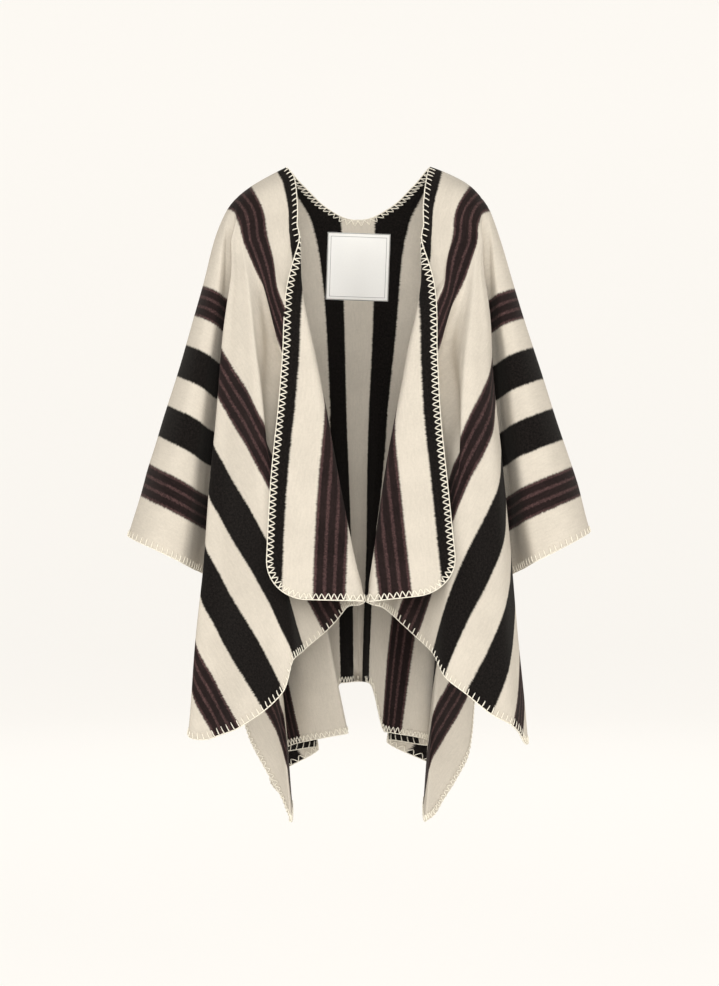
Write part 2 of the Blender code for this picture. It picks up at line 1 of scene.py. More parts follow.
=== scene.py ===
"""Looks of a striped wool blanket cape, worn open with its front edges turned out as lapels.

Tables and dimensions of the cape are in centimetres and degrees, in the part's own frame: +X to the
viewer's right, +Y away from the viewer, +Z up, with the origin between the shoulders. CM turns them into
metres.
"""

from collections import namedtuple
import math

import bpy
import numpy as np
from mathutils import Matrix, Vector


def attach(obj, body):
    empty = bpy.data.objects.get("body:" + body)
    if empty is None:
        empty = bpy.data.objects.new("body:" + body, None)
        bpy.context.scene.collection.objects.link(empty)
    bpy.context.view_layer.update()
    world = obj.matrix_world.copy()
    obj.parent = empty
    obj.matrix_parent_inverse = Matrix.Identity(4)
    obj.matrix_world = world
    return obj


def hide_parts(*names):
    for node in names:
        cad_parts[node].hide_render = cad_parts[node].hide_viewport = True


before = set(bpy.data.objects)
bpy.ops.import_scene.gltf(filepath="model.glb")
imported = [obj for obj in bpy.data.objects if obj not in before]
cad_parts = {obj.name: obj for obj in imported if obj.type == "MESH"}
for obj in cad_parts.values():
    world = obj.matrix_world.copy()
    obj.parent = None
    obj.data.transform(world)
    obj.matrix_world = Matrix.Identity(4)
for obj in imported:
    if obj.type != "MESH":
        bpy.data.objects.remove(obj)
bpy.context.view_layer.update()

CM = 0.01

# The flat blanket. U is measured out from the centre line, V along the cloth from the shoulder line.
HALF_WIDTH = 74.3
FRONT_LENGTH = 75.3
BACK_LENGTH = 94.5
CORNER_RADIUS = 6.6
SLIT_HALF = 5.5
NECK_HALF = 6.0
NECK_DEPTH = 15.2
NECK_POWER = 2.4
NECK_FLARE = 4.0
WALL = 0.30

# The body under the cloth, which turns over the arm and the shoulder with a radius. A pair whose name ends
# in IN or OUT holds where a change starts and how much further on it is complete.
ARM_RADIUS = 4.6
NECK_RADIUS = 3.4
ARM_RADIUS_IN = (6.0, 10.0)
SHOULDER_U = 15.7
SHOULDER_X_LEFT = 19.6
SHOULDER_X_RIGHT = 19.2
SHOULDER_Z = -5.8
DOME_LEAN = -17.0
DOME_SPREAD = 0.75
DOME_REACH = 8.0
CHEST_DEPTH = 6.6
CHEST_REACH = 25.0
CHEST_DROP = 12.0
CHEST_TURN_IN = (30.0, 40.0)
BACK_PLEAT = 3.2
BACK_PLEAT_IN = (20.0, 60.0)

# How far from each line the cloth is pulled to it: the shoulder line, the front edge, the neck and the
# outer edge of the stripe beside the middle of the back.
LINE_PULL = 14.0
EDGE_PULL = 11.0
NECK_PULL = 5.0
BACK_PULL = 14.0
BACK_PULL_LOW = 6.0
BACK_PULL_LOW_IN = (20.0, 55.0)
STRIPE_OUTER_U = 8.1
STRIPE_INNER_U = 2.6

# Just above the roll the front edge turns away from the chest, in a band beside the edge.
EDGE_TURN = 0.7
EDGE_TURN_IN = (3.0, 6.0)
EDGE_TURN_OUT = (13.0, 9.0)
EDGE_BAND_IN = (0.0, 3.0)
EDGE_BAND_OUT = (3.0, 8.0)

# The front edge folded outwards: the flat fold line runs from ROLL_TOP_V down to the hem.
ROLL_TOP_V = 12.0
ROLL_RUN_V = 63.3
ROLL_OUT_LEFT = 18.3
ROLL_OUT_RIGHT = 17.1
ROLL_BOW = 0.25
ROLL_LEAN = 14.5
ROLL_RADIUS_TOP = 0.5
ROLL_RADIUS_HEM = 1.15
LAPEL_TURN = 187.0

# The label patch.
LABEL_HALF_WIDTH = 5.3
LABEL_HEIGHT = 11.2
LABEL_DROP = 2.3
LABEL_TILT = 2.0
LABEL_THICK = 0.08

# Folds of the front, as rays from the point of the shoulder. turn: direction in the flat cloth, from the
# arm (0) through straight down (90) to the neck (180). lean: the same ray when worn, from straight down
# towards the centre line. out: depth gained per centimetre of ray, negative towards the viewer.
# reach: how far the ray gets, as a share of its flat length. Bends along it take up the rest.
FRONT_FOLDS = (
    # turn, lean_left, out_left, reach_left, lean_right, out_right, reach_right
    (0, -16.8, 0, 1, -17.6, 0, 1),
    (6.5, -11.6, -0.05, 1, -12.4, -0.04, 1),
    (10.5, -9, -0.04, 1, -9.4, -0.035, 1),
    (14, -7.4, 0.02, 1, -7.9, 0.02, 1),
    (18, -6.1, 0.085, 0.995, -6.7, 0.085, 0.995),
    (23, -2.6, 0.125, 0.99, -3.2, 0.125, 0.99),
    (27, 1, 0.145, 0.985, 0.4, 0.145, 0.985),
    (31, 3.2, 0.15, 0.98, 2.8, 0.15, 0.98),
    (35, 2.8, 0.1, 0.975, 2.6, 0.11, 0.975),
    (40, 0, 0.065, 0.97, 0, 0.07, 0.97),
    (44, -2.4, 0.045, 0.965, -2.4, 0.05, 0.97),
    (47.5, -4.3, 0.025, 0.96, -4.3, 0.035, 0.97),
    (51, -5.2, 0.005, 0.965, -5.4, 0.02, 0.98),
    (54.4, -2.4, -0.01, 0.975, -4.8, 0, 0.98),
    (57.3, 0.6, -0.04, 0.985, -3.6, -0.035, 0.985),
    (60, 3.2, -0.06, 0.985, -1.4, -0.055, 0.99),
    (63.3, 5.6, -0.075, 0.98, 1.5, -0.07, 0.98),
    (66.6, 7.2, -0.065, 0.945, 4, -0.065, 0.975),
    (70.4, 8.5, -0.015, 0.955, 5.6, -0.025, 0.955),
    (73.9, 11.2, 0.035, 0.95, 7.6, 0.03, 0.95),
    (77.7, 14.6, 0.065, 0.935, 11, 0.065, 0.935),
    (84.4, 17.6, -0.045, 0.96, 15.4, -0.045, 0.95),
    (97.5, 28.6, -0.04, 1, 25, -0.04, 1),
    (106, 36.5, 0, 1, 31, 0, 1),
    (117, 49, 0.02, 1, 45, 0.02, 1),
    (135.5, 66, 0.05, 1, 64, 0.05, 1),
    (180, 118, 0, 1, 118, 0, 1),
)

# Folds of the back, in the same terms, with out positive away from the viewer.
BACK_FOLDS = (
    # turn, lean_left, out_left, reach_left, lean_right, out_right, reach_right
    (0, -16.8, 0, 1, -17.6, 0, 1),
    (4.5, -15.6, 0.07, 1, -16.4, 0.06, 1),
    (9, -12.5, 0.115, 1, -13, 0.11, 1),
    (13.5, -8.5, 0.13, 1, -8.9, 0.13, 1),
    (18, -4.2, 0.115, 1, -4.6, 0.115, 1),
    (22, -1, 0.08, 0.995, -1.4, 0.08, 0.995),
    (25.5, 0.2, 0.045, 0.99, 0, 0.045, 0.99),
    (29, -0.9, 0.085, 0.99, -1, 0.09, 0.99),
    (33.5, -3.4, 0.145, 0.99, -3.2, 0.15, 0.99),
    (37.5, -4, 0.21, 0.985, -4, 0.21, 0.99),
    (40, -2.7, 0.24, 0.98, -3, 0.24, 0.99),
    (43, -0.8, 0.225, 0.975, -1.2, 0.225, 0.99),
    (47.3, -0.6, 0.17, 0.97, -0.5, 0.165, 0.99),
    (51.4, 0.7, 0.11, 0.96, 0.2, 0.12, 0.99),
    (53.5, 2.5, 0.08, 0.97, 1.5, 0.09, 0.985),
    (55.2, 4, 0.06, 0.98, 3, 0.065, 0.985),
    (57.5, 4.6, 0.045, 0.975, 4.3, 0.045, 0.975),
    (61, 4.7, 0.09, 0.976, 4.5, 0.095, 0.972),
    (65, 2.6, 0.155, 0.976, 1.8, 0.165, 0.97),
    (70.4, 7.8, 0.2, 0.976, 8.8, 0.215, 0.97),
    (75.2, 3.9, 0.14, 0.982, 4.6, 0.17, 0.98),
    (78.6, 5.4, 0.12, 0.98, 3.8, 0.145, 0.985),
    (81.5, 7.2, 0.095, 0.98, 4.2, 0.135, 0.985),
    (84.4, 9.6, 0.07, 0.98, 5, 0.125, 0.985),
    (86.9, 11.5, 0.05, 0.98, 6.4, 0.12, 0.985),
    (90, 10.4, 0.08, 0.985, 9.2, 0.1, 0.985),
    (95.7, 12.2, 0.13, 0.985, 12.6, 0.07, 0.985),
    (104, 20, 0.13, 1, 20, 0.08, 1),
    (132, 58, 0.1, 1, 58, 0.1, 1),
    (180, 118, 0, 1, 118, 0, 1),
)

# Turns of the folds that are missing close to the shoulder and open further down a ray. Two plainer rows
# stand for the front's late folds until then.
LATE_FRONT = (60, 63.3, 66.6, 70.4, 73.9, 77.7, 84.4)
LATE_BACK = (29, 33.5, 65, 70.4, 75.2, 78.6)
EARLY_FRONT = [row for row in FRONT_FOLDS if row[0] not in LATE_FRONT] + [
    (77.7, 13.4, -0.044, 0.965, 4.5, 0, 0.96),
    (84.4, 17.6, -0.045, 0.96, 10.5, 0, 0.95),
]
EARLY_BACK = [row for row in BACK_FOLDS if row[0] not in LATE_BACK]
LATE_FRONT_IN = (4.0, 26.0)
LATE_BACK_IN = (8.0, 34.0)
# By face, -1 for the front and 1 for the back.
FOLDS = {
    -1: (sorted(EARLY_FRONT), FRONT_FOLDS, LATE_FRONT_IN),
    1: (EARLY_BACK, BACK_FOLDS, LATE_BACK_IN),
}

# The shoulder and sleeve line seen from the front: distance out from the centre, and height.
RIDGE = (
    # flat_u, side_left, height_left, side_right, height_right
    (5.9, 11.7, 0.1, 11.8, 0.1),
    (8.1, 13.4, -0.7, 13.9, -0.7),
    (13, 17.6, -3, 18.3, -3),
    (15.7, 19.8, -4.8, 20.2, -4.9),
    (18.3, 21.5, -6.9, 21.8, -7.2),
    (23, 23.3, -11.2, 23.4, -11.7),
    (31.5, 25.5, -19.5, 25.7, -20),
    (47, 29.7, -34.4, 30.4, -34.8),
    (62.4, 34.2, -48.8, 35.1, -49.3),
    (74.3, 37.9, -60.7, 38.3, -60),
)

# The front edge down to where it starts to turn out, then the line at which the lapel starts to roll.
FRONT_EDGE = (
    # flat_v, side_left, side_right, height, depth
    (0, 11.7, 11.8, 0.1, 0),
    (3.3, 10.5, 11.3, -2, -2.3),
    (6.6, 10.1, 10.9, -4.7, -4.2),
    (9.9, 9.9, 10.7, -7.9, -5.5),
    (13.2, 10, 10.8, -11.4, -6.4),
    (20, 9.9, 11, -18.3, -7.7),
    (33.7, 7.7, 8.8, -32, -9.8),
    (50.5, 4.8, 5.9, -48.2, -12.8),
    (64, 2.2, 4, -61, -15.2),
    (75.3, 0, 2.7, -71.3, -16.7),
)

# The back inside the shoulders: how far out two stripes' edges lie, and the shape down the centre line.
BACK_CENTRE = (
    # flat_v, side_left_8, side_right_8, side_left_3, side_right_3, height, depth
    (0, 13.4, 13.9, 6.4, 6.4, -0.7, 0),
    (5, 11.3, 11.7, 4.8, 4.8, -2.5, 3.6),
    (10, 9.5, 10.2, 3.7, 3.7, -4.9, 6.4),
    (15.2, 7.9, 8.8, 2.8, 2.8, -7.75, 7.9),
    (21, 6.5, 7.5, 2.6, 2.7, -13.4, 9.4),
    (32, 5.4, 6.6, 2.3, 2.5, -24.2, 11.4),
    (50, 4.6, 4.8, 1.9, 1.8, -42, 13.6),
    (72, 3.7, 2.9, 1.2, 1.4, -63.9, 15.6),
    (84, 3.3, 2.1, 0.9, 1.2, -75.9, 16.4),
    (94.5, 3.1, 1.8, 0.8, 1.1, -86.2, 16.8),
)


def through(x, table, index):
    """Smooth curve through one column of a table, over its first one, that never overshoots the rows."""
    xs = np.array([row[0] for row in table], dtype=float)
    ys = np.array([row[index] for row in table], dtype=float)
    x = np.clip(np.asarray(x, dtype=float), xs[0], xs[-1])
    step = np.diff(xs)
    grade = np.diff(ys) / step
    slope = np.zeros(len(xs))
    for k in range(1, len(xs) - 1):
        if grade[k - 1] * grade[k] > 0:
            w1 = 2 * step[k] + step[k - 1]
            w2 = step[k] + 2 * step[k - 1]
            slope[k] = (w1 + w2) / (w1 / grade[k - 1] + w2 / grade[k])
    slope[0] = grade[0]
    slope[-1] = grade[-1]
    k = np.clip(np.searchsorted(xs, x, side="right") - 1, 0, len(xs) - 2)
    t = (x - xs[k]) / step[k]
    h = step[k]
    a = (1 + 2 * t) * (1 - t) ** 2
    b = t * (1 - t) ** 2
    c = t * t * (3 - 2 * t)
    d = t * t * (t - 1)
    return a * ys[k] + b * h * slope[k] + c * ys[k + 1] + d * h * slope[k + 1]


def rise(x, start, over):
    """Smooth change from 0 at start to 1 where x has gone on by over."""
    t = np.clip((x - start) / over, 0.0, 1.0)
    return t * t * (3 - 2 * t)


def blend(a, b, share):
    return a + (b - a) * share


def ridge(side, u):
    """Shoulder and sleeve line: distance out and height at a flat distance from the centre."""
    first = 1 if side < 0 else 3
    return through(u, RIDGE, first), through(u, RIDGE, first + 1)


def wrap_radius(u):
    """Radius of the turn over the shoulder and the arm."""
    return blend(NECK_RADIUS, ARM_RADIUS, rise(u, *ARM_RADIUS_IN))


def rays(side, face, u, v):
    """Cloth hanging in folds from the point of one shoulder. face is -1 for the front, 1 for the back."""
    early, folds, late_in = FOLDS[face]
    radius = wrap_radius(u)
    wrap = np.minimum(v / radius, math.pi / 2)
    down = radius * (1 - np.cos(wrap)) + np.maximum(v - radius * math.pi / 2, 0.0)
    along = u - SHOULDER_U
    r = np.hypot(along, down)
    turn = np.degrees(np.arctan2(down, along))
    first = 1 if side < 0 else 4
    opened = rise(r, *late_in)
    lean = blend(np.radians(through(turn, early, first)), np.radians(through(turn, folds, first)), opened)
    out = blend(through(turn, early, first + 1), through(turn, folds, first + 1), opened)
    reach = through(turn, folds, first + 2)
    # Close to the shoulder point the folds fade into a plain dome.
    opened = rise(r, 0.0, DOME_REACH)
    lean = blend(math.radians(DOME_LEAN) + np.radians(turn) * DOME_SPREAD, lean, opened)
    out = out * opened
    flat_r = r * reach * np.sqrt(1 - out * out)
    y = face * radius * np.sin(wrap) + out * r
    if face < 0:
        chest = rise(turn, *CHEST_TURN_IN) * (1 - np.exp(-r / CHEST_REACH)) * rise(down, 0.0, CHEST_DROP)
        y = y - CHEST_DEPTH * chest
    x = (SHOULDER_X_LEFT if side < 0 else SHOULDER_X_RIGHT) - flat_r * np.sin(lean)
    return x, y, SHOULDER_Z - flat_r * np.cos(lean)


def hung(side, face, u, v):
    """The same cloth with its top held by the shoulder line, on which both faces start."""
    x, y, z = rays(side, face, u, v)
    x_line, _, z_line = rays(side, face, u, np.zeros_like(v))
    side_out, height = ridge(side, u)
    hold = 1 - rise(v, 0.0, LINE_PULL)
    return x + (side_out - x_line) * hold, y, z + (height - z_line) * hold


def front_out(side, u, v):
    """The front, held by its edge and by the line of the lapel's roll."""
    x, y, z = hung(side, -1, u, v)
    inner = roll_line(side, v)
    x_held, y_held, z_held = hung(side, -1, inner, v)
    pull = 1 - rise(u, inner, EDGE_PULL)
    turned = EDGE_TURN * rise(v, *EDGE_TURN_IN) * (1 - rise(v, *EDGE_TURN_OUT))
    beside = rise(u - inner, *EDGE_BAND_IN) * (1 - rise(u - inner, *EDGE_BAND_OUT))
    x = x + (through(v, FRONT_EDGE, 1 if side < 0 else 2) - x_held) * pull - turned * beside
    y = y + (through(v, FRONT_EDGE, 4) - y_held) * pull + turned * beside
    z = z + (through(v, FRONT_EDGE, 3) - z_held) * pull
    return x, y, z


def stripe_curve(outer, inner, t):
    """Distance out from the centre line, on a curve through the inner and outer edges of a stripe."""
    m = STRIPE_INNER_U / STRIPE_OUTER_U
    return outer * t + (inner - outer * m) * t * (1 - t) / (m * (1 - m))


def back_out(side, u, v):
    """The back, whose middle hangs from the neck."""
    outer = 1 if side < 0 else 2
    inner = outer + 2
    x_outer = through(v, BACK_CENTRE, outer)
    x_inner = through(v, BACK_CENTRE, inner)
    z_centre = through(v, BACK_CENTRE, 5)
    y_centre = through(v, BACK_CENTRE, 6)
    x, y, z = hung(side, 1, u, v)
    x_held, y_held, z_held = hung(side, 1, np.full_like(u, STRIPE_OUTER_U), v)
    pull = 1 - rise(u, STRIPE_OUTER_U, BACK_PULL)
    x = x + (x_outer - x_held) * pull
    y = y + (y_centre - y_held) * pull
    reach = blend(BACK_PULL, BACK_PULL_LOW, rise(v, *BACK_PULL_LOW_IN))
    z = z + (z_centre - z_held) * (1 - rise(u, STRIPE_OUTER_U, reach))
    # Inside the stripe the cloth bows over the middle, and at the neck it starts on the shoulder line too.
    t = np.clip(u / STRIPE_OUTER_U, 0, 1)
    pleat = BACK_PLEAT * rise(v, *BACK_PLEAT_IN) * (1 - t * t) ** 2
    start = 1 - rise(v, 0.0, NECK_PULL)
    side_out, height = ridge(side, u)
    top = BACK_CENTRE[0]
    x_top = stripe_curve(top[outer], top[inner], t)
    x_middle = stripe_curve(x_outer, x_inner, t) + (side_out - x_top) * start
    z_middle = z_centre + (height - top[5]) * start
    inside = u < STRIPE_OUTER_U
    return np.where(inside, x_middle, x), np.where(inside, y_centre + pleat, y), np.where(inside, z_middle, z)


def sheet_out(side, u, v):
    """Worn place of a flat point before the lapel turns: x is the distance out from the centre line.

    side is -1 for the viewer's left and 1 for the right."""
    u = np.asarray(u, dtype=float)
    v = np.asarray(v, dtype=float)
    depth_v = np.abs(v)
    return [np.where(v >= 0, *both) for both in zip(front_out(side, u, depth_v), back_out(side, u, depth_v))]


def roll_line(side, v):
    """Flat place of the fold line of the lapel."""
    t = np.clip((np.asarray(v, dtype=float) - ROLL_TOP_V) / ROLL_RUN_V, 0.0, 1.0)
    out = ROLL_OUT_LEFT if side < 0 else ROLL_OUT_RIGHT
    return edge_line(v) + out * (t + ROLL_BOW * t * (1 - t))


def edge_line(v):
    """Flat place of the front edge."""
    return blend(SLIT_HALF, NECK_HALF, np.exp(-np.asarray(v, dtype=float) / NECK_FLARE))


def neck_line(v):
    """Flat half width of the neck hole at a distance behind the shoulder line."""
    t = np.clip(np.asarray(v, dtype=float) / NECK_DEPTH, 0.0, 1.0)
    return NECK_HALF * (1 - t ** NECK_POWER) ** (1 / NECK_POWER)


def lapel_flat(side, foot_v, run):
    """Flat place of a point of the lapel: foot_v is where it turns, run its distance from there."""
    lean = math.radians(ROLL_LEAN)
    v = foot_v + run * math.sin(lean)
    return roll_line(side, v) - run / math.cos(lean), v


def lapel(side, foot_v, run):
    """Worn place of the same point."""
    fx, fy, fz = sheet_out(side, roll_line(side, foot_v), foot_v)
    gx, _, gz = sheet_out(side, roll_line(side, foot_v - 1.0), foot_v - 1.0)
    # Across the roll, towards the centre and level with the front.
    ax, az = fz - gz, gx - fx
    norm = np.hypot(ax, az)
    ax, az = ax / norm, az / norm
    radius = blend(ROLL_RADIUS_TOP, ROLL_RADIUS_HEM, rise(foot_v, ROLL_TOP_V, ROLL_RUN_V / 2))
    full = math.radians(LAPEL_TURN)
    angle = np.minimum(run / radius, full)
    rest = np.maximum(run - radius * full, 0.0)
    reach = radius * np.sin(angle) + rest * math.cos(full)
    front = radius * (1 - np.cos(angle)) + rest * math.sin(full)
    return (fx + ax * reach) * side, fy - front, fz + az * reach


# ---------------------------------------------------------------- the cloth, from flat to worn

# Soft troughs and ridges. The deepest on each side runs beside the lapel, and the others are small against
# the folds. Depth is positive towards the outer face.
CREASES = (
    # side, flat_u, flat_v, heading, length, width, depth
    (-1, 23, 12, 68, 9, 2.2, -0.35),
    (-1, 31, 24, 66, 10, 3.2, 0.3),
    (-1, 22.8, 30.5, 62, 13, 1.7, -1.7),
    (-1, 33, 30, 58, 12, 2.6, -0.32),
    (-1, 26, 44, 76, 15, 2.8, -0.3),
    (-1, 41, 48, 62, 16, 3.2, 0.3),
    (-1, 55, 12, 8, 12, 2.6, -0.26),
    (-1, 63, 4, 95, 9, 3, 0.22),
    (-1, 46, 62, 80, 12, 3, -0.28),
    (1, 22, 13, 72, 10, 2, -0.3),
    (1, 28, 19, 58, 10, 2.2, 0.3),
    (1, 23.2, 32.6, 57, 13, 1.7, -1.8),
    (1, 34, 27, 64, 13, 2.4, -0.3),
    (1, 28, 50, 74, 16, 3, -0.32),
    (1, 43, 44, 58, 14, 3, 0.28),
    (1, 52, 15, 4, 11, 2.8, -0.24),
    (1, 66, 6, 88, 8, 3.2, 0.2),
    (1, 50, 60, 84, 11, 3, 0.26),
    (-1, 10, 45, 84, 14, 3.4, 0.25),
    (-1, 12, 62, 96, 9, 3, -0.22),
    (1, 11, 40, 95, 12, 3.2, 0.24),
    (1, 9.5, 60, 86, 10, 3, -0.22),
    (-1, 12, -20, 112, 10, 2.6, 0.3),
    (-1, 7, -38, 94, 16, 3.2, -0.28),
    (-1, 18, -46, 84, 16, 3, 0.3),
    (-1, 32, -36, 66, 13, 2.6, -0.28),
    (-1, 48, -22, 24, 12, 2.8, 0.26),
    (-1, 60, -30, 40, 12, 3, -0.24),
    (1, 13, -22, 116, 9, 2.4, 0.28),
    (1, 6, -48, 88, 15, 3, -0.26),
    (1, 17, -56, 92, 14, 3.2, 0.3),
    (1, 30, -40, 70, 14, 2.8, -0.3),
    (1, 47, -24, 20, 11, 3, 0.24),
    (1, 62, -28, 44, 11, 3, -0.22),
)
# Waves of the whole cloth, in radians a centimetre along u and v, with their height.
WAVES = (
    # rate_u, rate_v, start, height
    (0.21, 0.09, 0.4, 0.06),
    (-0.13, 0.17, 1.9, 0.055),
    (0.37, -0.06, 3.1, 0.035),
    (0.08, 0.33, 5, 0.03),
)

# Where rays of the mesh meet the edges, by V or by turn, and how many parts each gap between them has.
LAPEL_TOP_STOPS = (0, 1.2, 3.2, 6, 9, ROLL_TOP_V)
ROLL_STOPS = (ROLL_TOP_V, 15.5, 19, 23, 27, 31, 35, 39.5, 44, 48.5, 53, 57.5, 62, 66.5, 71, FRONT_LENGTH)
FRONT_TURNS = (82.2, 80, 77.7, 75.8, 73.9, 72.2, 70.4, 68.4, 66.6, 65, 63.3, 61.6, 60, 58.6, 57.3, 55.8, 54.4,
               52.8, 51.4, 50.2, 49, 47.5, 46, 44, 42, 40, 38, 36, 33.5, 31, 28.5, 26, 23, 20, 17, 14, 10.5,
               7.4, 4.8, 2.8, 1.3, 0)
BACK_TURNS = (0.35, 1.3, 2.8, 4.8, 7.4, 10.5, 13.5, 16.5, 19.5, 22, 24.2, 26.5, 29, 31.5, 33.5, 35.6, 37.5,
              39, 41, 43, 45.2, 47.3, 49.5, 51.4, 53.5, 55.4, 56.8, 58.2, 60.2, 62.4, 64, 65.8, 67.6, 69.4,
              71, 72.8, 74.6, 76.4, 78.6, 81.5, 84.4, 86.9, 90, 93.3, 96.6)
CENTRE_STOPS = (BACK_LENGTH, 86, 77, 68, 60, 52, 45, 38, 32, 26, 21, 17.5, NECK_DEPTH)
NECK_STOPS = (14.95, 14.7, 13.3, 10.9, 7.8, 4.2, 1.3)
SHORT_PARTS = 3
TURN_PARTS = 4
ROLL_PARTS = 5
# Rays beside the neck bow down the back by this much, and less over a run below it.
NECK_BEND = 3.0
NECK_BEND_RUN = 30.0
NECK_BEND_POWER = 1.8
# The rings along each ray, closer together near the shoulder, and the columns across a lapel.
RING_COUNT = 40
RING_POWER = 1.2
LAPEL_COLUMNS = 14
LAPEL_LEAST = 0.2
# A worked edge thins to a share of the wall over a short run, or over what these shares of a ray and of a
# lapel leave, where that is shorter.
EDGE_ROUND = 0.14
EDGE_SHARE = 0.35
RAY_INNER = 0.99
LAPEL_INNER = 0.9
# The longest that a ray and a lapel can be, and how often a search for their ends halves it.
FARTHEST_RAY = 140.0
WIDEST_LAPEL = 30.0
SEARCH_STEPS = 48
# Creases bow a little, and die out over a run beside the roll and at the middle of the back.
CREASE_BOW = 0.02
CREASE_FADE = 3.0
ROLL_CALM_V = 8.0
NORMAL_STEP = 0.25

Ray = namedtuple("Ray", "face turn length kind stop")


def cloth(side, u, v):
    """Worn place of any flat point, lapels included. u and v are arrays, and u is never negative."""
    x, y, z = sheet_out(side, u, v)
    lean = math.radians(ROLL_LEAN)
    run = (roll_line(side, v) - u) * math.cos(lean)
    foot = v - run * math.sin(lean)
    turned = (v > 0) & (run > 0)
    # Points of the body get any place on the roll, which the last line drops.
    lx, ly, lz = lapel(side, np.where(turned, foot, ROLL_TOP_V), np.maximum(run, 0.0))
    return np.where(turned, lx, x * side), np.where(turned, ly, y), np.where(turned, lz, z)


def outward(side, u, v):
    """Unit normal of the outer face, measured a little inside the blanket's edges."""
    step = NORMAL_STEP
    u = np.clip(u, 2 * step, HALF_WIDTH - 2 * step)
    v = np.clip(v, -BACK_LENGTH + 2 * step, FRONT_LENGTH - 2 * step)
    # Both ends of a step stay on the same face of the shoulder line.
    low = np.where((v >= 0) & (v < step), v, v - step)
    high = np.where((v < 0) & (v > -step), v, v + step)
    along_u = np.stack(cloth(side, u + step, v), -1) - np.stack(cloth(side, u - step, v), -1)
    along_v = np.stack(cloth(side, u, high), -1) - np.stack(cloth(side, u, low), -1)
    normal = -side * np.cross(along_u, along_v)
    return normal / np.maximum(np.linalg.norm(normal, axis=-1, keepdims=True), 1e-9)


def crease_height(side, u, v):
    """Height of the soft creases over the plain folds."""
    total = np.zeros_like(u)
    for rate_u, rate_v, start, height in WAVES:
        total += height * np.sin(rate_u * u * side + rate_v * v + start)
    for row_side, mid_u, mid_v, heading, length, width, depth in CREASES:
        if row_side != side:
            continue
        angle = math.radians(heading)
        along = (u - mid_u) * math.cos(angle) + (v - mid_v) * math.sin(angle)
        across = (v - mid_v) * math.cos(angle) - (u - mid_u) * math.sin(angle)
        across = across + CREASE_BOW * along ** 2 / width
        total += depth * np.exp(-(along / length) ** 2 - (across / width) ** 2)
    roll_gap = np.abs(u - roll_line(side, np.maximum(v, 0.0)))
    calm = np.where(v > ROLL_CALM_V, rise(roll_gap, 0.0, CREASE_FADE), 1.0)
    return total * calm * rise(u, 0.0, CREASE_FADE)


def place(side, u, v, lift=0.0):
    """Worn place in centimetres of flat points, lifted along the outer normal. Returns an (n, 3) array."""
    u = np.asarray(u, dtype=float)
    v = np.asarray(v, dtype=float)
    at = np.stack(cloth(side, u, v), -1)
    return at + outward(side, u, v) * (crease_height(side, u, v) + lift)[..., None]


def rounded(length, past):
    """Length of the cloth at a distance past the point where its corner starts to round off."""
    past = np.clip(past, 0.0, CORNER_RADIUS)
    return length - CORNER_RADIUS + np.sqrt(CORNER_RADIUS ** 2 - past ** 2)


def flat_on_ray(face, turn, r):
    """Flat points at a distance along rays from the shoulder point."""
    angle = np.radians(turn)
    u = SHOULDER_U + r * np.cos(angle)
    down = r * np.sin(angle)
    radius = wrap_radius(u)
    curved = radius * np.arccos(np.clip(1 - down / radius, -1.0, 1.0))
    straight = down + (math.pi / 2 - 1) * radius
    return u, -face * np.where(down < radius, curved, straight)


def bend(kind, stop):
    """How far down the back a ray bows, so that the rays beside the neck pass round its hole."""
    if kind == "neck":
        return NECK_BEND * (1 - float(neck_line(stop)) / NECK_HALF) ** NECK_BEND_POWER
    if kind == "centre":
        return NECK_BEND * float(1 - rise(stop, NECK_DEPTH, NECK_BEND_RUN))
    return 0.0


def in_body(side, u, v):
    """Whether flat points lie on the cloth, outside the roll line and the neck hole."""
    past = u - (HALF_WIDTH - CORNER_RADIUS)
    front = (v >= 0) & (v <= rounded(FRONT_LENGTH, past)) & (u >= roll_line(side, v))
    below_neck = (-v > NECK_DEPTH) | (u >= neck_line(-v))
    back = (v < 0) & (u >= 0) & (-v <= rounded(BACK_LENGTH, past)) & below_neck
    return (u <= HALF_WIDTH) & (front | back)


def farthest(limit, like, passes, steps=SEARCH_STEPS):
    """Largest value up to a limit that still passes a test, for each entry of an array."""
    low = np.zeros_like(like)
    high = np.full_like(like, limit)
    for _ in range(steps):
        mid = (low + high) / 2
        good = passes(mid)
        low = np.where(good, mid, low)
        high = np.where(good, high, mid)
    return low


def ray_lengths(side, face, turn):
    return farthest(FARTHEST_RAY, turn, lambda r: in_body(side, *flat_on_ray(face, turn, r)))


def aim(u, v):
    """Directions and lengths of the rays to flat points."""
    radius = wrap_radius(u)
    v = np.abs(v)
    wrapped = radius * (1 - np.cos(np.minimum(v / radius, math.pi / 2)))
    down = np.where(v < radius * math.pi / 2, wrapped, v - (math.pi / 2 - 1) * radius)
    return np.degrees(np.arctan2(down, u - SHOULDER_U)), np.hypot(u - SHOULDER_U, down)


def finer(stops, parts):
    """The same stops with each gap cut into equal parts."""
    stops = np.array(stops, dtype=float)
    count = (len(stops) - 1) * parts
    return np.interp(np.arange(count + 1) / parts, np.arange(len(stops)), stops)


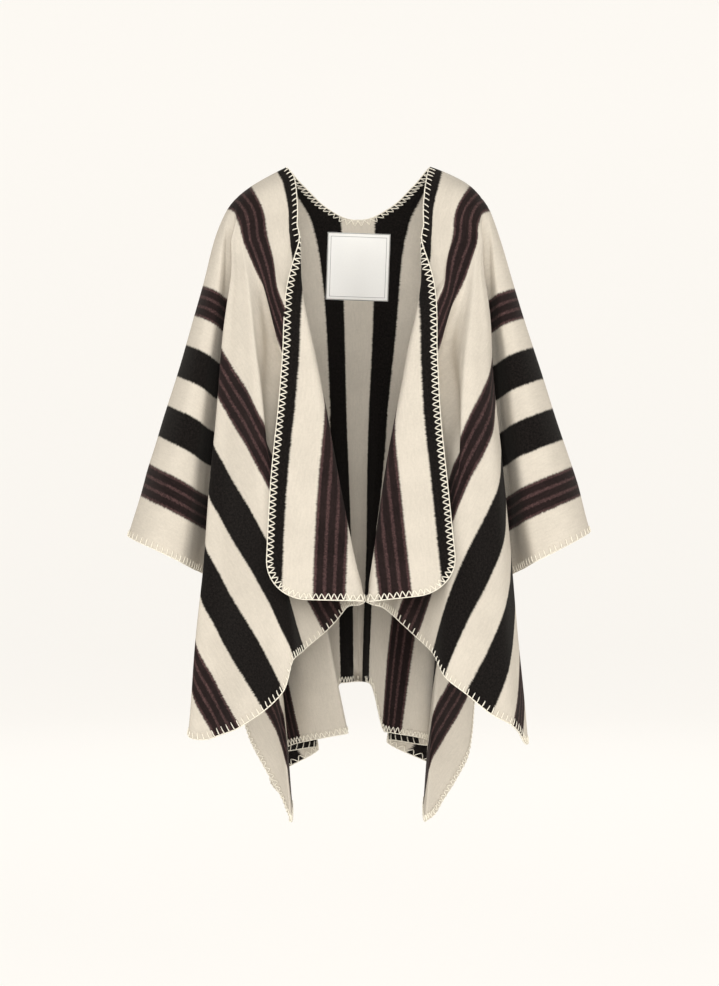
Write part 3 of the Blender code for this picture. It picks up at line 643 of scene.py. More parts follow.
def half_rays(side):
    """Rays of one half, round from the neck over the front to the back."""
    listed = []

    def add(face, turn, length, kind, stop):
        for one_turn, one_length, one_stop in zip(turn, length, stop):
            listed.append(Ray(face, one_turn, one_length, kind, one_stop))

    v = finer(LAPEL_TOP_STOPS, SHORT_PARTS)[:-1]
    add(-1, *aim(edge_line(v), v), "edge", v)
    v = finer(ROLL_STOPS, ROLL_PARTS)
    add(-1, *aim(roll_line(side, v), v), "roll", v)
    for face, turns in ((-1, FRONT_TURNS), (1, BACK_TURNS)):
        turn = finer(turns, TURN_PARTS)
        add(face, turn, ray_lengths(side, face, turn), "edge", turn)
    v = finer(CENTRE_STOPS, SHORT_PARTS)
    add(1, *aim(np.zeros_like(v), v), "centre", v)
    v = finer(NECK_STOPS, SHORT_PARTS)
    add(1, *aim(neck_line(v), v), "neck", v)
    return listed


def lapel_widths(side, foot_v):
    """How far the lapel runs from its roll line before it meets the front edge or the hem."""
    def within(run):
        u, v = lapel_flat(side, foot_v, run)
        return (u >= edge_line(v)) & (v <= rounded(FRONT_LENGTH, SLIT_HALF + CORNER_RADIUS - u))

    return farthest(WIDEST_LAPEL, foot_v, within)


def blanket_surface():
    """Middle surface of the blanket: flat points (u, v, side), share of the wall's thickness, and faces."""
    flat = []
    share = []
    faces = []
    centre = {}
    rings = (np.arange(1, RING_COUNT + 1) / RING_COUNT) ** RING_POWER
    for side in (-1, 1):
        first = len(flat)
        flat.append((SHOULDER_U, 0.0, side))
        share.append(1.0)
        listed = half_rays(side)
        face = np.array([ray.face for ray in listed], dtype=float)[:, None]
        turn = np.array([ray.turn for ray in listed])[:, None]
        length = np.array([ray.length for ray in listed])[:, None]
        r = length * rings[None, :]
        inner = np.maximum(length - EDGE_ROUND, length * RAY_INNER)
        r = np.concatenate([np.minimum(r[:, :-1], inner), inner, length], axis=1)
        r[:, -3] = (r[:, -4] + r[:, -2]) / 2
        u, v = flat_on_ray(face, turn, r)
        bow = 4 * np.array([bend(ray.kind, ray.stop) for ray in listed])[:, None]
        v = v - bow * r / length * (1 - r / length)
        grid = []
        for i, ray in enumerate(listed):
            line = list(range(len(flat), len(flat) + r.shape[1]))
            flat.extend(zip(u[i], v[i], [side] * len(line)))
            worked = ray.kind in ("edge", "neck") or (ray.kind == "roll" and ray.stop <= ROLL_TOP_V)
            # Both halves share the points down the middle of the back.
            if ray.kind == "centre":
                stop = round(float(ray.stop), 4)
                worked = stop in (NECK_DEPTH, BACK_LENGTH)
                line[-1] = centre.setdefault(stop, line[-1])
            share.extend([1.0] * (len(line) - 1) + [EDGE_SHARE if worked else 1.0])
            grid.append(line)
        for a, b in zip(grid, grid[1:] + grid[:1]):
            strip = [(first, a[0], b[0])]
            for j in range(len(a) - 1):
                strip.append((a[j], a[j + 1], b[j + 1], b[j]))
            faces += [f if side < 0 else tuple(reversed(f)) for f in strip]
        faces += lapel_faces(side, listed, grid, flat, share)
    return np.array(flat), np.array(share), faces


def lapel_faces(side, listed, grid, flat, share):
    """Adds the points of one lapel, which leaves the body along the roll line, and returns its faces."""
    rows = [(line, ray.stop) for line, ray in zip(grid, listed) if ray.kind == "roll"]
    width = lapel_widths(side, np.array([stop for _, stop in rows]))
    strips = []
    for (line, stop), reach in zip(rows, width):
        points = [line[-1]]
        if reach > LAPEL_LEAST:
            inner = max(reach - EDGE_ROUND, reach * LAPEL_INNER)
            runs = list(inner * np.arange(1, LAPEL_COLUMNS) / (LAPEL_COLUMNS - 1)) + [reach]
            for run in runs:
                points.append(len(flat))
                flat.append((*lapel_flat(side, stop, run), side))
                share.append(EDGE_SHARE if run == reach else 1.0)
        strips.append(points)
    faces = []
    for a, b in zip(strips[:-1], strips[1:]):
        if len(a) == 1 and len(b) == 1:
            continue
        for j in range(LAPEL_COLUMNS):
            if len(a) == 1:
                face = (a[0], b[j + 1], b[j])
            elif len(b) == 1:
                face = (a[j], a[j + 1], b[0])
            else:
                face = (a[j], a[j + 1], b[j + 1], b[j])
            faces.append(face if side < 0 else tuple(reversed(face)))
    return faces


def worn_points(flat, lift=0.0):
    """Worn places of an (n, 3) array of flat u, v and side."""
    out = np.zeros((len(flat), 3))
    lift = np.broadcast_to(np.asarray(lift, dtype=float), (len(flat),))
    for side in (-1, 1):
        mine = flat[:, 2] == side
        if mine.any():
            out[mine] = place(side, flat[mine, 0], flat[mine, 1], lift[mine])
    return out


def mesh_normals(points, faces):
    """Vertex normals of a surface of triangles and quads."""
    corners = np.array([f if len(f) == 4 else f + (f[2],) for f in faces])
    p = points[corners]
    normal = np.cross(p[:, 2] - p[:, 0], p[:, 3] - p[:, 1])
    triangle = corners[:, 2] == corners[:, 3]
    normal[triangle] = np.cross(p[triangle, 1] - p[triangle, 0], p[triangle, 2] - p[triangle, 0])
    total = np.zeros_like(points)
    for k in range(3):
        np.add.at(total, corners[:, k], normal)
    np.add.at(total, corners[~triangle, 3], normal[~triangle])
    return total / np.maximum(np.linalg.norm(total, axis=1, keepdims=True), 1e-12)


def make_piece(name, points, faces, material, flat=None):
    """New mesh object from points in metres. flat gives each point a place on the flat cloth, as its UV."""
    mesh = bpy.data.meshes.new(name)
    mesh.from_pydata([tuple(p) for p in points], [], faces)
    mesh.update()
    if flat is not None:
        layer = mesh.uv_layers.new(name="flat_cloth")
        loops = np.zeros(len(mesh.loops), dtype=np.int32)
        mesh.loops.foreach_get("vertex_index", loops)
        layer.data.foreach_set("uv", flat[loops].astype(np.float32).ravel())
    mesh.materials.append(material)
    mesh.shade_smooth()
    piece = bpy.data.objects.new(name, mesh)
    bpy.context.collection.objects.link(piece)
    return piece


def flat_uv(flat):
    """Flat places as shares of the blanket's width and length."""
    u = flat[:, 0] * flat[:, 2] / (2 * HALF_WIDTH) + 0.5
    v = (flat[:, 1] + BACK_LENGTH) / (FRONT_LENGTH + BACK_LENGTH)
    return np.stack([u, v], -1)


def two_faced(points, faces, half):
    """Closed wall on both sides of a surface. half is each point's half thickness, outer face first."""
    normals = mesh_normals(points, faces)
    count = len(points)
    outer = points + normals * half[:, None]
    inner = points - normals * half[:, None]
    edges = {}
    for face in faces:
        for k in range(len(face)):
            edges[(face[k], face[(k + 1) % len(face)])] = True
    wall = list(faces) + [tuple(k + count for k in reversed(f)) for f in faces]
    for a, b in edges:
        if (b, a) not in edges:
            wall.append((b, a, a + count, b + count))
    return np.concatenate([outer, inner]), wall


def make_blanket(material):
    """The whole blanket as one closed wall."""
    flat, share, faces = blanket_surface()
    used = np.zeros(len(flat), dtype=bool)
    used[[k for face in faces for k in face]] = True
    new_place = np.cumsum(used) - 1
    faces = [tuple(int(new_place[k]) for k in face) for face in faces]
    flat = flat[used]
    share = share[used]
    points = worn_points(flat) * CM
    # The outer face comes first, so the normals of the back have to point away from the viewer.
    if mesh_normals(points, faces)[:, 1][flat[:, 1] < -BACK_LENGTH / 3].mean() < 0:
        faces = [tuple(reversed(f)) for f in faces]
    verts, wall = two_faced(points, faces, share * WALL / 2 * CM)
    uv = flat_uv(flat)
    return make_piece("blanket", verts, wall, material, np.concatenate([uv, uv]))


# ---------------------------------------------------------------- blanket stitch round every edge

STITCH_PITCH = 1.0
STITCH_DEPTH = 1.05
BAR_POINTS = 5
STITCH_ARCH = 0.05
STITCH_UNEVEN = 0.05
STITCH_SEED = 7
YARN_RADIUS = 0.088
YARN_SIDES = 5
# Yarn that climbs more than this share of its length takes its sides from X, and other yarn from Z.
STEEP = 0.9
# How far the yarn's middle stands off the cloth and off its edge, and how thin it gets in its hole.
YARN_SEAT = 0.35 * YARN_RADIUS
RIM_SEAT = 0.6 * YARN_RADIUS
HOLE_THIN = 0.75
# The zigzag inside: the power that rounds its tips, its points, and how far it bows off the cloth.
TIP_ROUND = 1.35
ZIGZAG_POINTS = 9
ZIGZAG_BOW = 0.03
# The thread along the edge: its distance past the bars, its wave from face to face and its swell at knots.
RIM_GAP = 0.02
RIM_WAVE = 0.03
RIM_THICK = 1.15
RIM_SWELL = 0.12
# The route of the edge: points on its curves, and the reach either way that gives its direction.
NECK_POINTS = 60
FRONT_POINTS = 300
CORNER_POINTS = 30
ROUTE_START = 0.05
ROUTE_AHEAD = 0.4
# Yarn and thread near the middle of the back stay on the half that they belong to.
LEAST_U = 0.02


def edge_route():
    """Flat edge of one half, u and v, from the middle of the back neck to the middle of the back hem."""
    turn = np.linspace(0.0, math.pi / 2, NECK_POINTS)
    neck_u = NECK_HALF * np.sin(turn) ** (2 / NECK_POWER)
    neck_v = NECK_DEPTH * np.cos(turn) ** (2 / NECK_POWER)
    front_v = np.linspace(ROUTE_START, FRONT_LENGTH - CORNER_RADIUS, FRONT_POINTS)
    # The round corners, with the straight hems and the side between them.
    turn = np.linspace(0.0, math.pi / 2, CORNER_POINTS)
    short = CORNER_RADIUS * (1 - np.sin(turn))
    long = CORNER_RADIUS * (1 - np.cos(turn))
    parts = (
        (neck_u, -neck_v),
        (edge_line(front_v), front_v),
        (SLIT_HALF + long[1:], FRONT_LENGTH - short[1:]),
        (HALF_WIDTH - short, FRONT_LENGTH - long),
        (HALF_WIDTH - long, -BACK_LENGTH + short),
        ([0.0], [-BACK_LENGTH]),
    )
    return [np.concatenate(both) for both in zip(*parts)]


def stitch_stations(parts):
    """Even stations along the route, parts of them to a stitch: u, v and the direction into the cloth."""
    u, v = edge_route()
    length = np.concatenate([[0.0], np.cumsum(np.hypot(np.diff(u), np.diff(v)))])
    count = int(round(length[-1] / STITCH_PITCH)) * parts
    at = np.linspace(0.0, length[-1], count + 1)
    ahead = at + ROUTE_AHEAD
    behind = at - ROUTE_AHEAD
    du = np.interp(ahead, length, u) - np.interp(behind, length, u)
    dv = np.interp(ahead, length, v) - np.interp(behind, length, v)
    size = np.maximum(np.hypot(du, dv), 1e-9)
    # The cloth lies on the left hand of the route, which runs down the front edge.
    return np.interp(at, length, u), np.interp(at, length, v), dv / size, -du / size


def tube(rows, radius):
    """Points and faces of round tubes. rows is (tubes, sections, 3) of middle lines, radius per section."""
    tubes, sections, _ = rows.shape
    along = np.gradient(rows, axis=1)
    along /= np.maximum(np.linalg.norm(along, axis=2, keepdims=True), 1e-9)
    steep = np.abs(along[..., 2:3]) >= STEEP
    guide = np.where(steep, [1.0, 0.0, 0.0], [0.0, 0.0, 1.0])
    guide = np.broadcast_to(guide[:, :1], along.shape)
    side = np.cross(along, guide)
    side /= np.maximum(np.linalg.norm(side, axis=2, keepdims=True), 1e-9)
    up = np.cross(side, along)
    angle = np.arange(YARN_SIDES) * 2 * math.pi / YARN_SIDES
    ring = side[:, :, None] * np.cos(angle)[:, None] + up[:, :, None] * np.sin(angle)[:, None]
    points = rows[:, :, None] + ring * np.asarray(radius)[..., None, None]
    points = points.reshape(-1, 3)
    faces = []
    for t in range(tubes):
        for s in range(sections - 1):
            a = (t * sections + s) * YARN_SIDES
            b = a + YARN_SIDES
            for k in range(YARN_SIDES):
                n = (k + 1) % YARN_SIDES
                faces.append((a + k, a + n, b + n, b + k))
        first = t * sections * YARN_SIDES
        last = first + (sections - 1) * YARN_SIDES
        faces.append(tuple(first + k for k in reversed(range(YARN_SIDES))))
        faces.append(tuple(last + k for k in range(YARN_SIDES)))
    return points, faces


def on_cloth(side, u, v, lift):
    """Middle lines of yarn at a height over the cloth, from (lines, points) arrays of flat places."""
    lift = np.broadcast_to(lift, u.shape)
    return place(side, np.maximum(u.ravel(), LEAST_U), v.ravel(), lift.ravel()).reshape(u.shape + (3,))


def make_stitches(material):
    """Blanket stitch: bars on the outer face, a zigzag on the inner one and a thread along the edge."""
    rng = np.random.default_rng(STITCH_SEED)
    all_points = []
    all_faces = []
    total = 0
    lift = WALL / 2 + YARN_SEAT
    bar = np.linspace(0.0, 1.0, BAR_POINTS)
    zigzag = np.linspace(0.0, 1.0, ZIGZAG_POINTS)

    def add(rows, radius):
        nonlocal total
        points, faces = tube(rows, radius)
        all_points.append(points)
        all_faces.extend(tuple(k + total for k in face) for face in faces)
        total += len(points)

    for side in (-1, 1):
        u, v, in_u, in_v = stitch_stations(2)
        count = (len(u) - 1) // 2
        knots = np.arange(count + 1) * 2
        holes = np.arange(count) * 2 + 1
        deeper, slide, thicker, _ = rng.normal(0.0, STITCH_UNEVEN, (4, count))
        depth = STITCH_DEPTH + deeper
        hole_u = u[holes] + in_u[holes] * depth - in_v[holes] * slide
        hole_v = v[holes] + in_v[holes] * depth + in_u[holes] * slide
        foot_u = u[holes] - in_u[holes] * RIM_SEAT
        foot_v = v[holes] - in_v[holes] * RIM_SEAT
        thick = np.broadcast_to(YARN_RADIUS * (1 + thicker[:, None]), (count, BAR_POINTS)).copy()
        thick[:, 0] *= HOLE_THIN
        bar_u = hole_u[:, None] * (1 - bar) + foot_u[:, None] * bar
        bar_v = hole_v[:, None] * (1 - bar) + foot_v[:, None] * bar
        add(on_cloth(side, bar_u, bar_v, lift + STITCH_ARCH * (1 - (2 * bar - 1) ** 2)), thick)
        # Inside, each stitch runs from one knot round its hole to the next, as a V with a round tip.
        into = 1 - np.abs(2 * zigzag - 1) ** TIP_ROUND
        knot_u = u[knots] - in_u[knots] * RIM_SEAT
        knot_v = v[knots] - in_v[knots] * RIM_SEAT
        rows = []
        for knot, hole in ((knot_u, hole_u), (knot_v, hole_v)):
            base = knot[:-1, None] * (1 - zigzag) + knot[1:, None] * zigzag
            middle = (knot[:-1] + knot[1:]) / 2
            rows.append(base + (hole - middle)[:, None] * into)
        line = on_cloth(side, *rows, -lift - ZIGZAG_BOW * np.sin(math.pi * zigzag))
        add(line, np.broadcast_to(thick[:, 1:2], (count, ZIGZAG_POINTS)))
        # The thread along the edge rides a little outside the rim and swells at each knot.
        u, v, in_u, in_v = stitch_stations(4)
        quarter = np.arange(len(u)) * math.pi / 2
        rim_u = np.maximum(u - in_u * (RIM_SEAT + RIM_GAP), 0.0)
        rim_v = v - in_v * (RIM_SEAT + RIM_GAP)
        line = place(side, rim_u, rim_v, np.sin(quarter) * RIM_WAVE)
        swell = YARN_RADIUS * (RIM_THICK + RIM_SWELL * np.cos(quarter))
        add(line[None], swell[None])
    points = np.concatenate(all_points) * CM
    return make_piece("blanket_stitch", points, all_faces, material)


# ---------------------------------------------------------------- woven label

LABEL_GRID_U = 48
LABEL_GRID_V = 54
LABEL_EDGE_SHARE = 0.4
# How far the patch stands off the cloth at its edge, how much fuller it is inside, and its ripple.
LABEL_LIFT = 0.06
LABEL_FULL = 0.05
LABEL_FULL_IN = (0.0, 0.8)
LABEL_RIPPLE = 0.02
LABEL_RIPPLE_IN = (0.0, 2.0)
LABEL_RIPPLE_RATES = (9, 7)
LABEL_RIPPLE_STARTS = (2, 1)
# The distance from the middle of the back that surely passes the patch, and how often a search halves it.
LABEL_FARTHEST = 14.0
LABEL_SEARCH_STEPS = 30
# The stitches: inset from the patch's edge, pitch, where each starts and ends in it, and their thread.
LABEL_STITCH_INSET = 0.22
LABEL_STITCH_PITCH = 0.32
LABEL_STITCH_START = 0.15
LABEL_STITCH_END = 0.75
LABEL_STITCH_LIFTS = (0.115, 0.16, 0.16, 0.115)
LABEL_THREAD_RADIUS = 0.028


def label_place(s, t, lift):
    """Worn place of a point of the label. s and t run from 0 to 1 across and down it."""
    tilt = math.tan(math.radians(LABEL_TILT))
    across = LABEL_HALF_WIDTH * (2 * s - 1)
    down = LABEL_HEIGHT * (t - 0.5)
    v = -(NECK_DEPTH + LABEL_DROP + LABEL_HEIGHT / 2 + down + across * tilt)
    across = across - down * tilt
    side = np.where(across < 0, -1.0, 1.0)

    def short_of_it(u):
        return np.where(side < 0, sheet_out(-1, u, v)[0], sheet_out(1, u, v)[0]) < np.abs(across)

    # The flat place that hangs at this distance from the middle.
    u = farthest(LABEL_FARTHEST, v, short_of_it, LABEL_SEARCH_STEPS)
    return worn_points(np.stack([np.maximum(u, LEAST_U), v, side], -1), -(WALL / 2 + lift))


def make_label(material):
    """Woven patch, pressed flat at its sewn edge and a little full inside."""
    s, t = np.meshgrid(np.linspace(0, 1, LABEL_GRID_U + 1), np.linspace(0, 1, LABEL_GRID_V + 1))
    s = s.ravel()
    t = t.ravel()
    rim = np.minimum(np.minimum(s, 1 - s) * 2 * LABEL_HALF_WIDTH, np.minimum(t, 1 - t) * LABEL_HEIGHT)
    waves = zip(LABEL_RIPPLE_RATES, (s, t), LABEL_RIPPLE_STARTS)
    wave_s, wave_t = (np.sin(rate * at + start) for rate, at, start in waves)
    ripple = LABEL_RIPPLE * wave_s * wave_t * rise(rim, *LABEL_RIPPLE_IN)
    lift = LABEL_LIFT + LABEL_FULL * rise(rim, *LABEL_FULL_IN) + ripple
    row = LABEL_GRID_U + 1
    faces = []
    for j in range(LABEL_GRID_V):
        for i in range(LABEL_GRID_U):
            a = j * row + i
            faces.append((a, a + row, a + row + 1, a + 1))
    points = label_place(s, t, lift) * CM
    # The face with the weave looks towards the viewer.
    if mesh_normals(points, faces)[:, 1].mean() > 0:
        faces = [tuple(reversed(f)) for f in faces]
    half = np.where(rim < 1e-6, LABEL_EDGE_SHARE, 1.0) * LABEL_THICK / 2 * CM
    verts, wall = two_faced(points, faces, half)
    uv = np.stack([s, 1 - t], -1)
    return make_piece("label_patch", verts, wall, material, np.concatenate([uv, uv]))


def make_label_stitches(material):
    """Small straight stitches that hold the patch, just inside its edge."""
    size = np.array([2 * LABEL_HALF_WIDTH, LABEL_HEIGHT])
    low = LABEL_STITCH_INSET / size
    corners = np.array([low, (1 - low[0], low[1]), 1 - low, (low[0], 1 - low[1])])
    starts = []
    ends = []
    for k, length in enumerate(np.tile(size - 2 * LABEL_STITCH_INSET, 2)):
        run = corners[(k + 1) % 4] - corners[k]
        count = int(length / LABEL_STITCH_PITCH)
        for j in range(count):
            starts.append(corners[k] + run * (j + LABEL_STITCH_START) / count)
            ends.append(corners[k] + run * (j + LABEL_STITCH_END) / count)
    t = np.linspace(0.0, 1.0, len(LABEL_STITCH_LIFTS))[None, :, None]
    path = np.array(starts)[:, None] * (1 - t) + np.array(ends)[:, None] * t
    lift = np.broadcast_to(LABEL_STITCH_LIFTS, path.shape[:2]).ravel()
    rows = label_place(path[..., 0].ravel(), path[..., 1].ravel(), lift).reshape(path.shape[:2] + (3,))
    points, faces = tube(rows, np.full(rows.shape[:2], LABEL_THREAD_RADIUS))
    return make_piece("label_sewing", points * CM, faces, material)


# ---------------------------------------------------------------- finishes

CREAM = (0.545, 0.497, 0.425)
BLACK = (0.0052, 0.0042, 0.0038)
DARK_BROWN = (0.0120, 0.0072, 0.0070)
MAUVE = (0.074, 0.041, 0.040)
YARN = (0.86, 0.81, 0.69)
PATCH = (0.96, 0.955, 0.93)
PATCH_LINE = (0.05, 0.045, 0.045)
WHITE_THREAD = (0.82, 0.80, 0.74)
STRIPES = (
    # from_u, to_u, wool
    (2.64, 8.09, "black"),
    (13.04, 18.32, "brown"),
    (31.52, 36.63, "brown"),
    (41.58, 47.03, "black"),
    (52.14, 57.59, "black"),
    (62.37, 67.65, "brown"),
)
STRIPE_SOFTNESS = 0.20
# Lines of lighter yarn in a brown stripe, in shares of its width: the first one's place and their pitch.
LINE_FIRST = 0.045
LINE_PITCH = 0.304
LINE_RANGE = (0.15, 0.95)
# How much of the lighter yarn shows in its lines, at the least and more in flecks.
LINE_LEAST = 0.25
LINE_FLECKS = 0.95
# Noises over the flat cloth: rate across it, rate along it, detail, roughness.
EDGE_FIBRES = (0.9, 9.0, 2.0, 0.6)
EDGE_TUFTS = (0.7, 4.4, 1.0, 0.5)
CLOUDS = (0.16, 0.16, 3.0, 0.55)
STREAKS = (3.2, 0.5, 4.0, 0.6)
FIBRES = (9.0, 5.0, 4.0, 0.75)
FELT = (2.8, 2.3, 5.0, 0.75)
PATCH_MOTTLE = (40.0, 46.0, 3.0, 0.6)
# How far, in centimetres, fibres and tufts move a stripe's edge.
EDGE_FIBRE_REACH = 0.55
EDGE_TUFT_REACH = 0.36
# Weights of the noises in the wool's shade, and the values between which shade and flecks change.
BROAD_SHADE = 0.22
FINE_SHADE = 0.28
SHADE_RANGE = (0.36, 0.64)
FLECK_RANGE = (0.40, 0.64)
YARN_RANGE = (0.3, 0.7)
# Bumps: strength, and height in metres.
WOOL_NAP = (0.55, 0.0012)
YARN_FUZZ = (0.5, 0.0004)
PATCH_WEAVE = (0.25, 0.0002)
# The patch: pitch of its threads down and across, and its border's two lines as (from, full, full, to).
RIB_PITCH = 0.06
WEFT_PITCH = 0.09
OUTER_LINE = (0.02, 0.05, 0.10, 0.13)
INNER_LINE = (0.58, 0.60, 0.64, 0.66)
INNER_LINE_INK = 0.8


SHADER_SOCKETS = {
    "colour": "Base Color",
    "roughness": "Roughness",
    "specular": "Specular IOR Level",
    "sheen": "Sheen Weight",
    "sheen_roughness": "Sheen Roughness",
    "sheen_tint": "Sheen Tint",
    "glow_colour": "Emission Color",
    "glow": "Emission Strength",
}


class Wire:
    """A value in a material, with a node for each sum it takes part in."""

    def __init__(self, nodes, socket):
        self.nodes = nodes
        self.socket = socket

    def __add__(self, other):
        return self.nodes.math("ADD", self, other)

    def __radd__(self, other):
        return self.nodes.math("ADD", other, self)

    def __sub__(self, other):
        return self.nodes.math("SUBTRACT", self, other)

    def __rsub__(self, other):
        return self.nodes.math("SUBTRACT", other, self)

    def __mul__(self, other):
        return self.nodes.math("MULTIPLY", self, other)

    def __truediv__(self, other):
        return self.nodes.math("DIVIDE", self, other)

    def __abs__(self):
        return self.nodes.math("ABSOLUTE", self)


class Nodes:
    """Short names for building a material's nodes."""

    def __init__(self, name, **uniform):
        self.material = bpy.data.materials.new(name)
        self.material.use_nodes = True
        self.tree = self.material.node_tree
        self.shader = self.tree.nodes["Principled BSDF"]
        for key, value in uniform.items():
            self.shader.inputs[SHADER_SOCKETS[key]].default_value = value

    def feed(self, socket, value):
        if isinstance(value, Wire):
            self.tree.links.new(value.socket, socket)
        else:
            socket.default_value = value

    def add(self, kind, inputs, output=0, **settings):
        """New node with its settings and inputs, by name or number. Returns one of its outputs."""
        node = self.tree.nodes.new(kind)
        for key, value in settings.items():
            setattr(node, key, value)
        for key, value in inputs.items():
            self.feed(node.inputs[key], value)
        return Wire(self, node.outputs[output])

    def math(self, operation, a, b=0.0):
        return self.add("ShaderNodeMath", {0: a, 1: b}, operation=operation)

    def mix(self, share, a, b):
        """Colour between a and b, which are colours or wires."""
        a, b = (value if isinstance(value, Wire) else value + (1.0,) for value in (a, b))
        return self.add("ShaderNodeMix", {"Factor": share, "A": a, "B": b}, "Result", data_type="RGBA")

    def shades(self, share, colour, darkest, lightest):
        """One colour, from its darkest shade to its lightest."""
        return self.mix(share, *(tuple(part * shade for part in colour) for shade in (darkest, lightest)))

    def step(self, value, low, high):
        """0 below low, 1 above high and a smooth rise between."""
        inputs = {"Value": value, "From Min": low, "From Max": high}
        return self.add("ShaderNodeMapRange", inputs, "Result", interpolation_type="SMOOTHSTEP")

    def band(self, value, low, low_full, high_full, high):
        """1 from low_full to high_full, and 0 outside low and high."""
        return self.step(value, low, low_full) * (1.0 - self.step(value, high_full, high))

    def texture(self, at, scale, detail, rough):
        inputs = {"Vector": at, "Scale": scale, "Detail": detail, "Roughness": rough}
        return self.add("ShaderNodeTexNoise", inputs, "Fac")

    def noise(self, u, v, kind):
        """Noise over flat places, of one of the kinds listed above."""
        rate_u, rate_v, detail, rough = kind
        at = self.add("ShaderNodeCombineXYZ", {0: u * rate_u, 1: v * rate_v})
        return self.texture(at, 1.0, detail, rough)

    def flat_place(self):
        """Shares of the way across and along the flat cloth."""
        uv = self.add("ShaderNodeUVMap", {}, "UV", uv_map="flat_cloth")
        across = self.add("ShaderNodeSeparateXYZ", {0: uv})
        return across, Wire(self, across.socket.node.outputs[1])

    def finish(self, colour, height, strength, distance):
        """Feeds the colour and a bump to the shader and returns the material."""
        inputs = {"Height": height, "Strength": strength, "Distance": distance}
        self.feed(self.shader.inputs["Base Color"], colour)
        self.feed(self.shader.inputs["Normal"], self.add("ShaderNodeBump", inputs, "Normal"))
        return self.material


def brushed_wool():
    """Thick felted wool with fuzzy stripes that run along the length of the blanket."""
    n = Nodes("brushed_wool", roughness=0.95, specular=0.06, sheen=0.04, sheen_roughness=0.6,
              sheen_tint=(1.0, 0.95, 0.88, 1.0))
    across, along = n.flat_place()
    u = (across - 0.5) * (2 * HALF_WIDTH)
    v = along * (FRONT_LENGTH + BACK_LENGTH)
    # Fibres brushed across the stripes make their edges ragged, finely and in small tufts.
    fine = (n.noise(u, v, EDGE_FIBRES) - 0.5) * EDGE_FIBRE_REACH
    teeth = (n.noise(u, v, EDGE_TUFTS) - 0.5) * EDGE_TUFT_REACH
    out = abs(u) + (fine + teeth)
    dark = 0.0
    brown = 0.0
    line = 0.0
    soft = STRIPE_SOFTNESS
    for low, high, wool in STRIPES:
        inside = n.band(out, low - soft, low + soft, high - soft, high + soft)
        dark = dark + inside
        if wool == "brown":
            brown = brown + inside
            # Four thin lines of a lighter yarn, the outer two at the stripe's edges.
            wave = n.math("COSINE", ((out - low) / (high - low) - LINE_FIRST) * (2 * math.pi / LINE_PITCH))
            line = line + inside * n.step(wave, *LINE_RANGE)
    # Shade of the wool itself: clouds, brushed streaks, single fibres and felt.
    streaks = n.noise(u, v, STREAKS)
    fibres = n.noise(u, v, FIBRES)
    felt = n.noise(u, v, FELT)
    tone = (n.noise(u, v, CLOUDS) + streaks) * BROAD_SHADE + (felt + fibres) * FINE_SHADE
    shade = n.step(tone, *SHADE_RANGE)
    fleck = n.step(felt * 0.5 + fibres * 0.5, *FLECK_RANGE)
    cream = n.shades(shade, CREAM, 0.89, 1.09)
    black = n.shades(fleck, BLACK, 0.3, 2.6)
    ground = n.shades(shade, DARK_BROWN, 0.6, 1.7)
    lines = n.shades(shade, MAUVE, 0.75, 1.3)
    heather = n.mix(line * (LINE_LEAST + fleck * LINE_FLECKS), ground, lines)
    colour = n.mix(dark, cream, n.mix(brown, black, heather))
    return n.finish(colour, fibres * 0.6 + streaks * 0.5, *WOOL_NAP)


def ivory_yarn():
    """Soft twisted wool yarn of the stitches."""
    n = Nodes("ivory_yarn", roughness=0.85, specular=0.2, sheen=0.25)
    at = n.add("ShaderNodeTexCoord", {}, "Object")
    fine = n.texture(at, 900.0, 3.0, 0.6)
    soft = n.texture(at, 160.0, 2.0, 0.5)
    shade = n.step(fine * 0.6 + soft * 0.4, *YARN_RANGE)
    return n.finish(n.shades(shade, YARN, 0.82, 1.0), fine, *YARN_FUZZ)


def woven_patch():
    """White satin-woven patch with a plain border of two thin dark lines."""
    n = Nodes("woven_patch", roughness=0.62, specular=0.3, sheen=0.15)
    s, t = n.flat_place()
    wide = 2 * LABEL_HALF_WIDTH
    inset = n.math("MINIMUM", (0.5 - abs(s - 0.5)) * wide, (0.5 - abs(t - 0.5)) * LABEL_HEIGHT)
    ribs = n.math("SINE", t * (LABEL_HEIGHT * 2 * math.pi / RIB_PITCH))
    weft = n.math("SINE", s * (wide * 2 * math.pi / WEFT_PITCH))
    ink = n.math("MAXIMUM", n.band(inset, *OUTER_LINE), n.band(inset, *INNER_LINE) * INNER_LINE_INK)
    ground = n.shades(n.noise(s, t, PATCH_MOTTLE), PATCH, 0.93, 1.0)
    return n.finish(n.mix(ink, ground, PATCH_LINE), ribs * weft, *PATCH_WEAVE)


def white_thread():
    return Nodes("white_thread", colour=WHITE_THREAD + (1.0,), roughness=0.9, specular=0.1).material


# ---------------------------------------------------------------- camera, light and floor

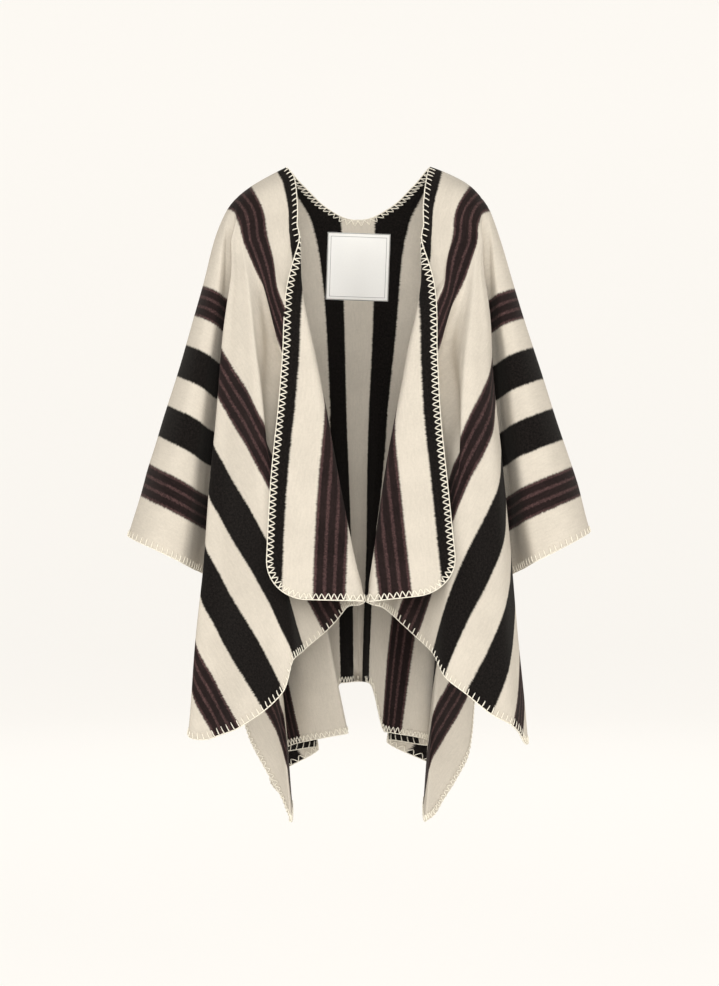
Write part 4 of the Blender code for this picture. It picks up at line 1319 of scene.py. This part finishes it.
# Places and sizes here are in metres.
CAMERA_AT = (0.0025, -4.0, -0.536)
FRAME_HEIGHT = 1.627
SENSOR = 36.0
VIEW_END = 60.0
FLOOR_Z = -1.45
FLOOR_RADIUS = 9.0
FLOOR_BEND = 3.0
FLOOR_BEND_STEPS = 24
FLOOR_SEGMENTS = 96
BACKDROP_TOP = 9.0
PAPER = (0.25, 0.243, 0.232, 1.0)
PAPER_GLOW_COLOUR = (0.947, 0.922, 0.879, 1.0)
PAPER_GLOW = 0.81
DAYLIGHT = (1.0, 0.985, 0.96, 1.0)
DAYLIGHT_STRENGTH = 0.1
LAMP_WHITE = (1.0, 0.99, 0.97)
LAMPS_AIM = (0.0, 0.0, -0.5)
LAMPS = (
    # name, place, width, watts, colour
    ("front_lamp", (0.0, -4.6, 0.1), 2.0, 95.0, LAMP_WHITE),
    ("left_lamp", (-2.8, -3.6, 0.8), 1.6, 40.0, LAMP_WHITE),
    ("right_lamp", (2.8, -3.6, 0.8), 1.6, 40.0, LAMP_WHITE),
    ("back_lamp", (0.0, 4.5, 2.5), 3.0, 80.0, (1.0, 1.0, 1.0)),
)


def lit_paper():
    """Pale studio paper, lit evenly from behind."""
    return Nodes("lit_paper", colour=PAPER, roughness=1.0, specular=0.0, glow_colour=PAPER_GLOW_COLOUR,
                 glow=PAPER_GLOW).material


def add_camera():
    data = bpy.data.cameras.new("view")
    data.sensor_fit = "VERTICAL"
    data.sensor_height = SENSOR
    data.lens = SENSOR * -CAMERA_AT[1] / FRAME_HEIGHT
    data.clip_end = VIEW_END
    camera = bpy.data.objects.new("view", data)
    camera.location = CAMERA_AT
    camera.rotation_euler = (math.pi / 2, 0.0, 0.0)
    bpy.context.collection.objects.link(camera)
    bpy.context.scene.camera = camera


def add_lamps():
    for name, at, width, watts, colour in LAMPS:
        data = bpy.data.lights.new(name, "AREA")
        data.shape = "DISK"
        data.size = width
        data.energy = watts
        data.color = colour
        lamp = bpy.data.objects.new(name, data)
        lamp.location = at
        lamp.rotation_euler = (Vector(LAMPS_AIM) - Vector(at)).to_track_quat("-Z", "Y").to_euler()
        bpy.context.collection.objects.link(lamp)


def add_surroundings():
    """Pale floor that sweeps up into a backdrop all round, and soft daylight."""
    profile = []
    for k in range(FLOOR_BEND_STEPS + 1):
        turn = math.pi / 2 * k / FLOOR_BEND_STEPS
        profile.append((FLOOR_RADIUS - FLOOR_BEND + FLOOR_BEND * math.sin(turn),
                        FLOOR_Z + FLOOR_BEND * (1 - math.cos(turn))))
    profile.append((FLOOR_RADIUS, BACKDROP_TOP))
    verts = [(0.0, 0.0, FLOOR_Z)]
    faces = []
    for r, z in profile:
        for k in range(FLOOR_SEGMENTS):
            turn = 2 * math.pi * k / FLOOR_SEGMENTS
            verts.append((r * math.cos(turn), r * math.sin(turn), z))
    for k in range(FLOOR_SEGMENTS):
        after = (k + 1) % FLOOR_SEGMENTS
        faces.append((0, 1 + k, 1 + after))
        for row in range(len(profile) - 1):
            a = 1 + row * FLOOR_SEGMENTS + k
            b = 1 + row * FLOOR_SEGMENTS + after
            faces.append((a, a + FLOOR_SEGMENTS, b + FLOOR_SEGMENTS, b))
    mesh = bpy.data.meshes.new("studio_floor")
    mesh.from_pydata(verts, [], faces)
    mesh.shade_smooth()
    mesh.materials.append(lit_paper())
    floor = bpy.data.objects.new("studio_floor", mesh)
    bpy.context.collection.objects.link(floor)
    world = bpy.data.worlds.new("daylight")
    world.use_nodes = True
    background = world.node_tree.nodes["Background"]
    background.inputs["Color"].default_value = DAYLIGHT
    background.inputs["Strength"].default_value = DAYLIGHT_STRENGTH
    bpy.context.scene.world = world


def main():
    bpy.context.scene.view_settings.view_transform = "Standard"
    add_camera()
    add_surroundings()
    add_lamps()
    blanket = make_blanket(brushed_wool())
    stitches = make_stitches(ivory_yarn())
    label = make_label(woven_patch())
    sewing = make_label_stitches(white_thread())
    for piece, slot in ((blanket, "wool_cloth"), (stitches, "wool_cloth"), (label, "woven_label"),
                        (sewing, "woven_label")):
        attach(piece, "root")
    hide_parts("cape_body")
    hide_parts("neck_label")


main()
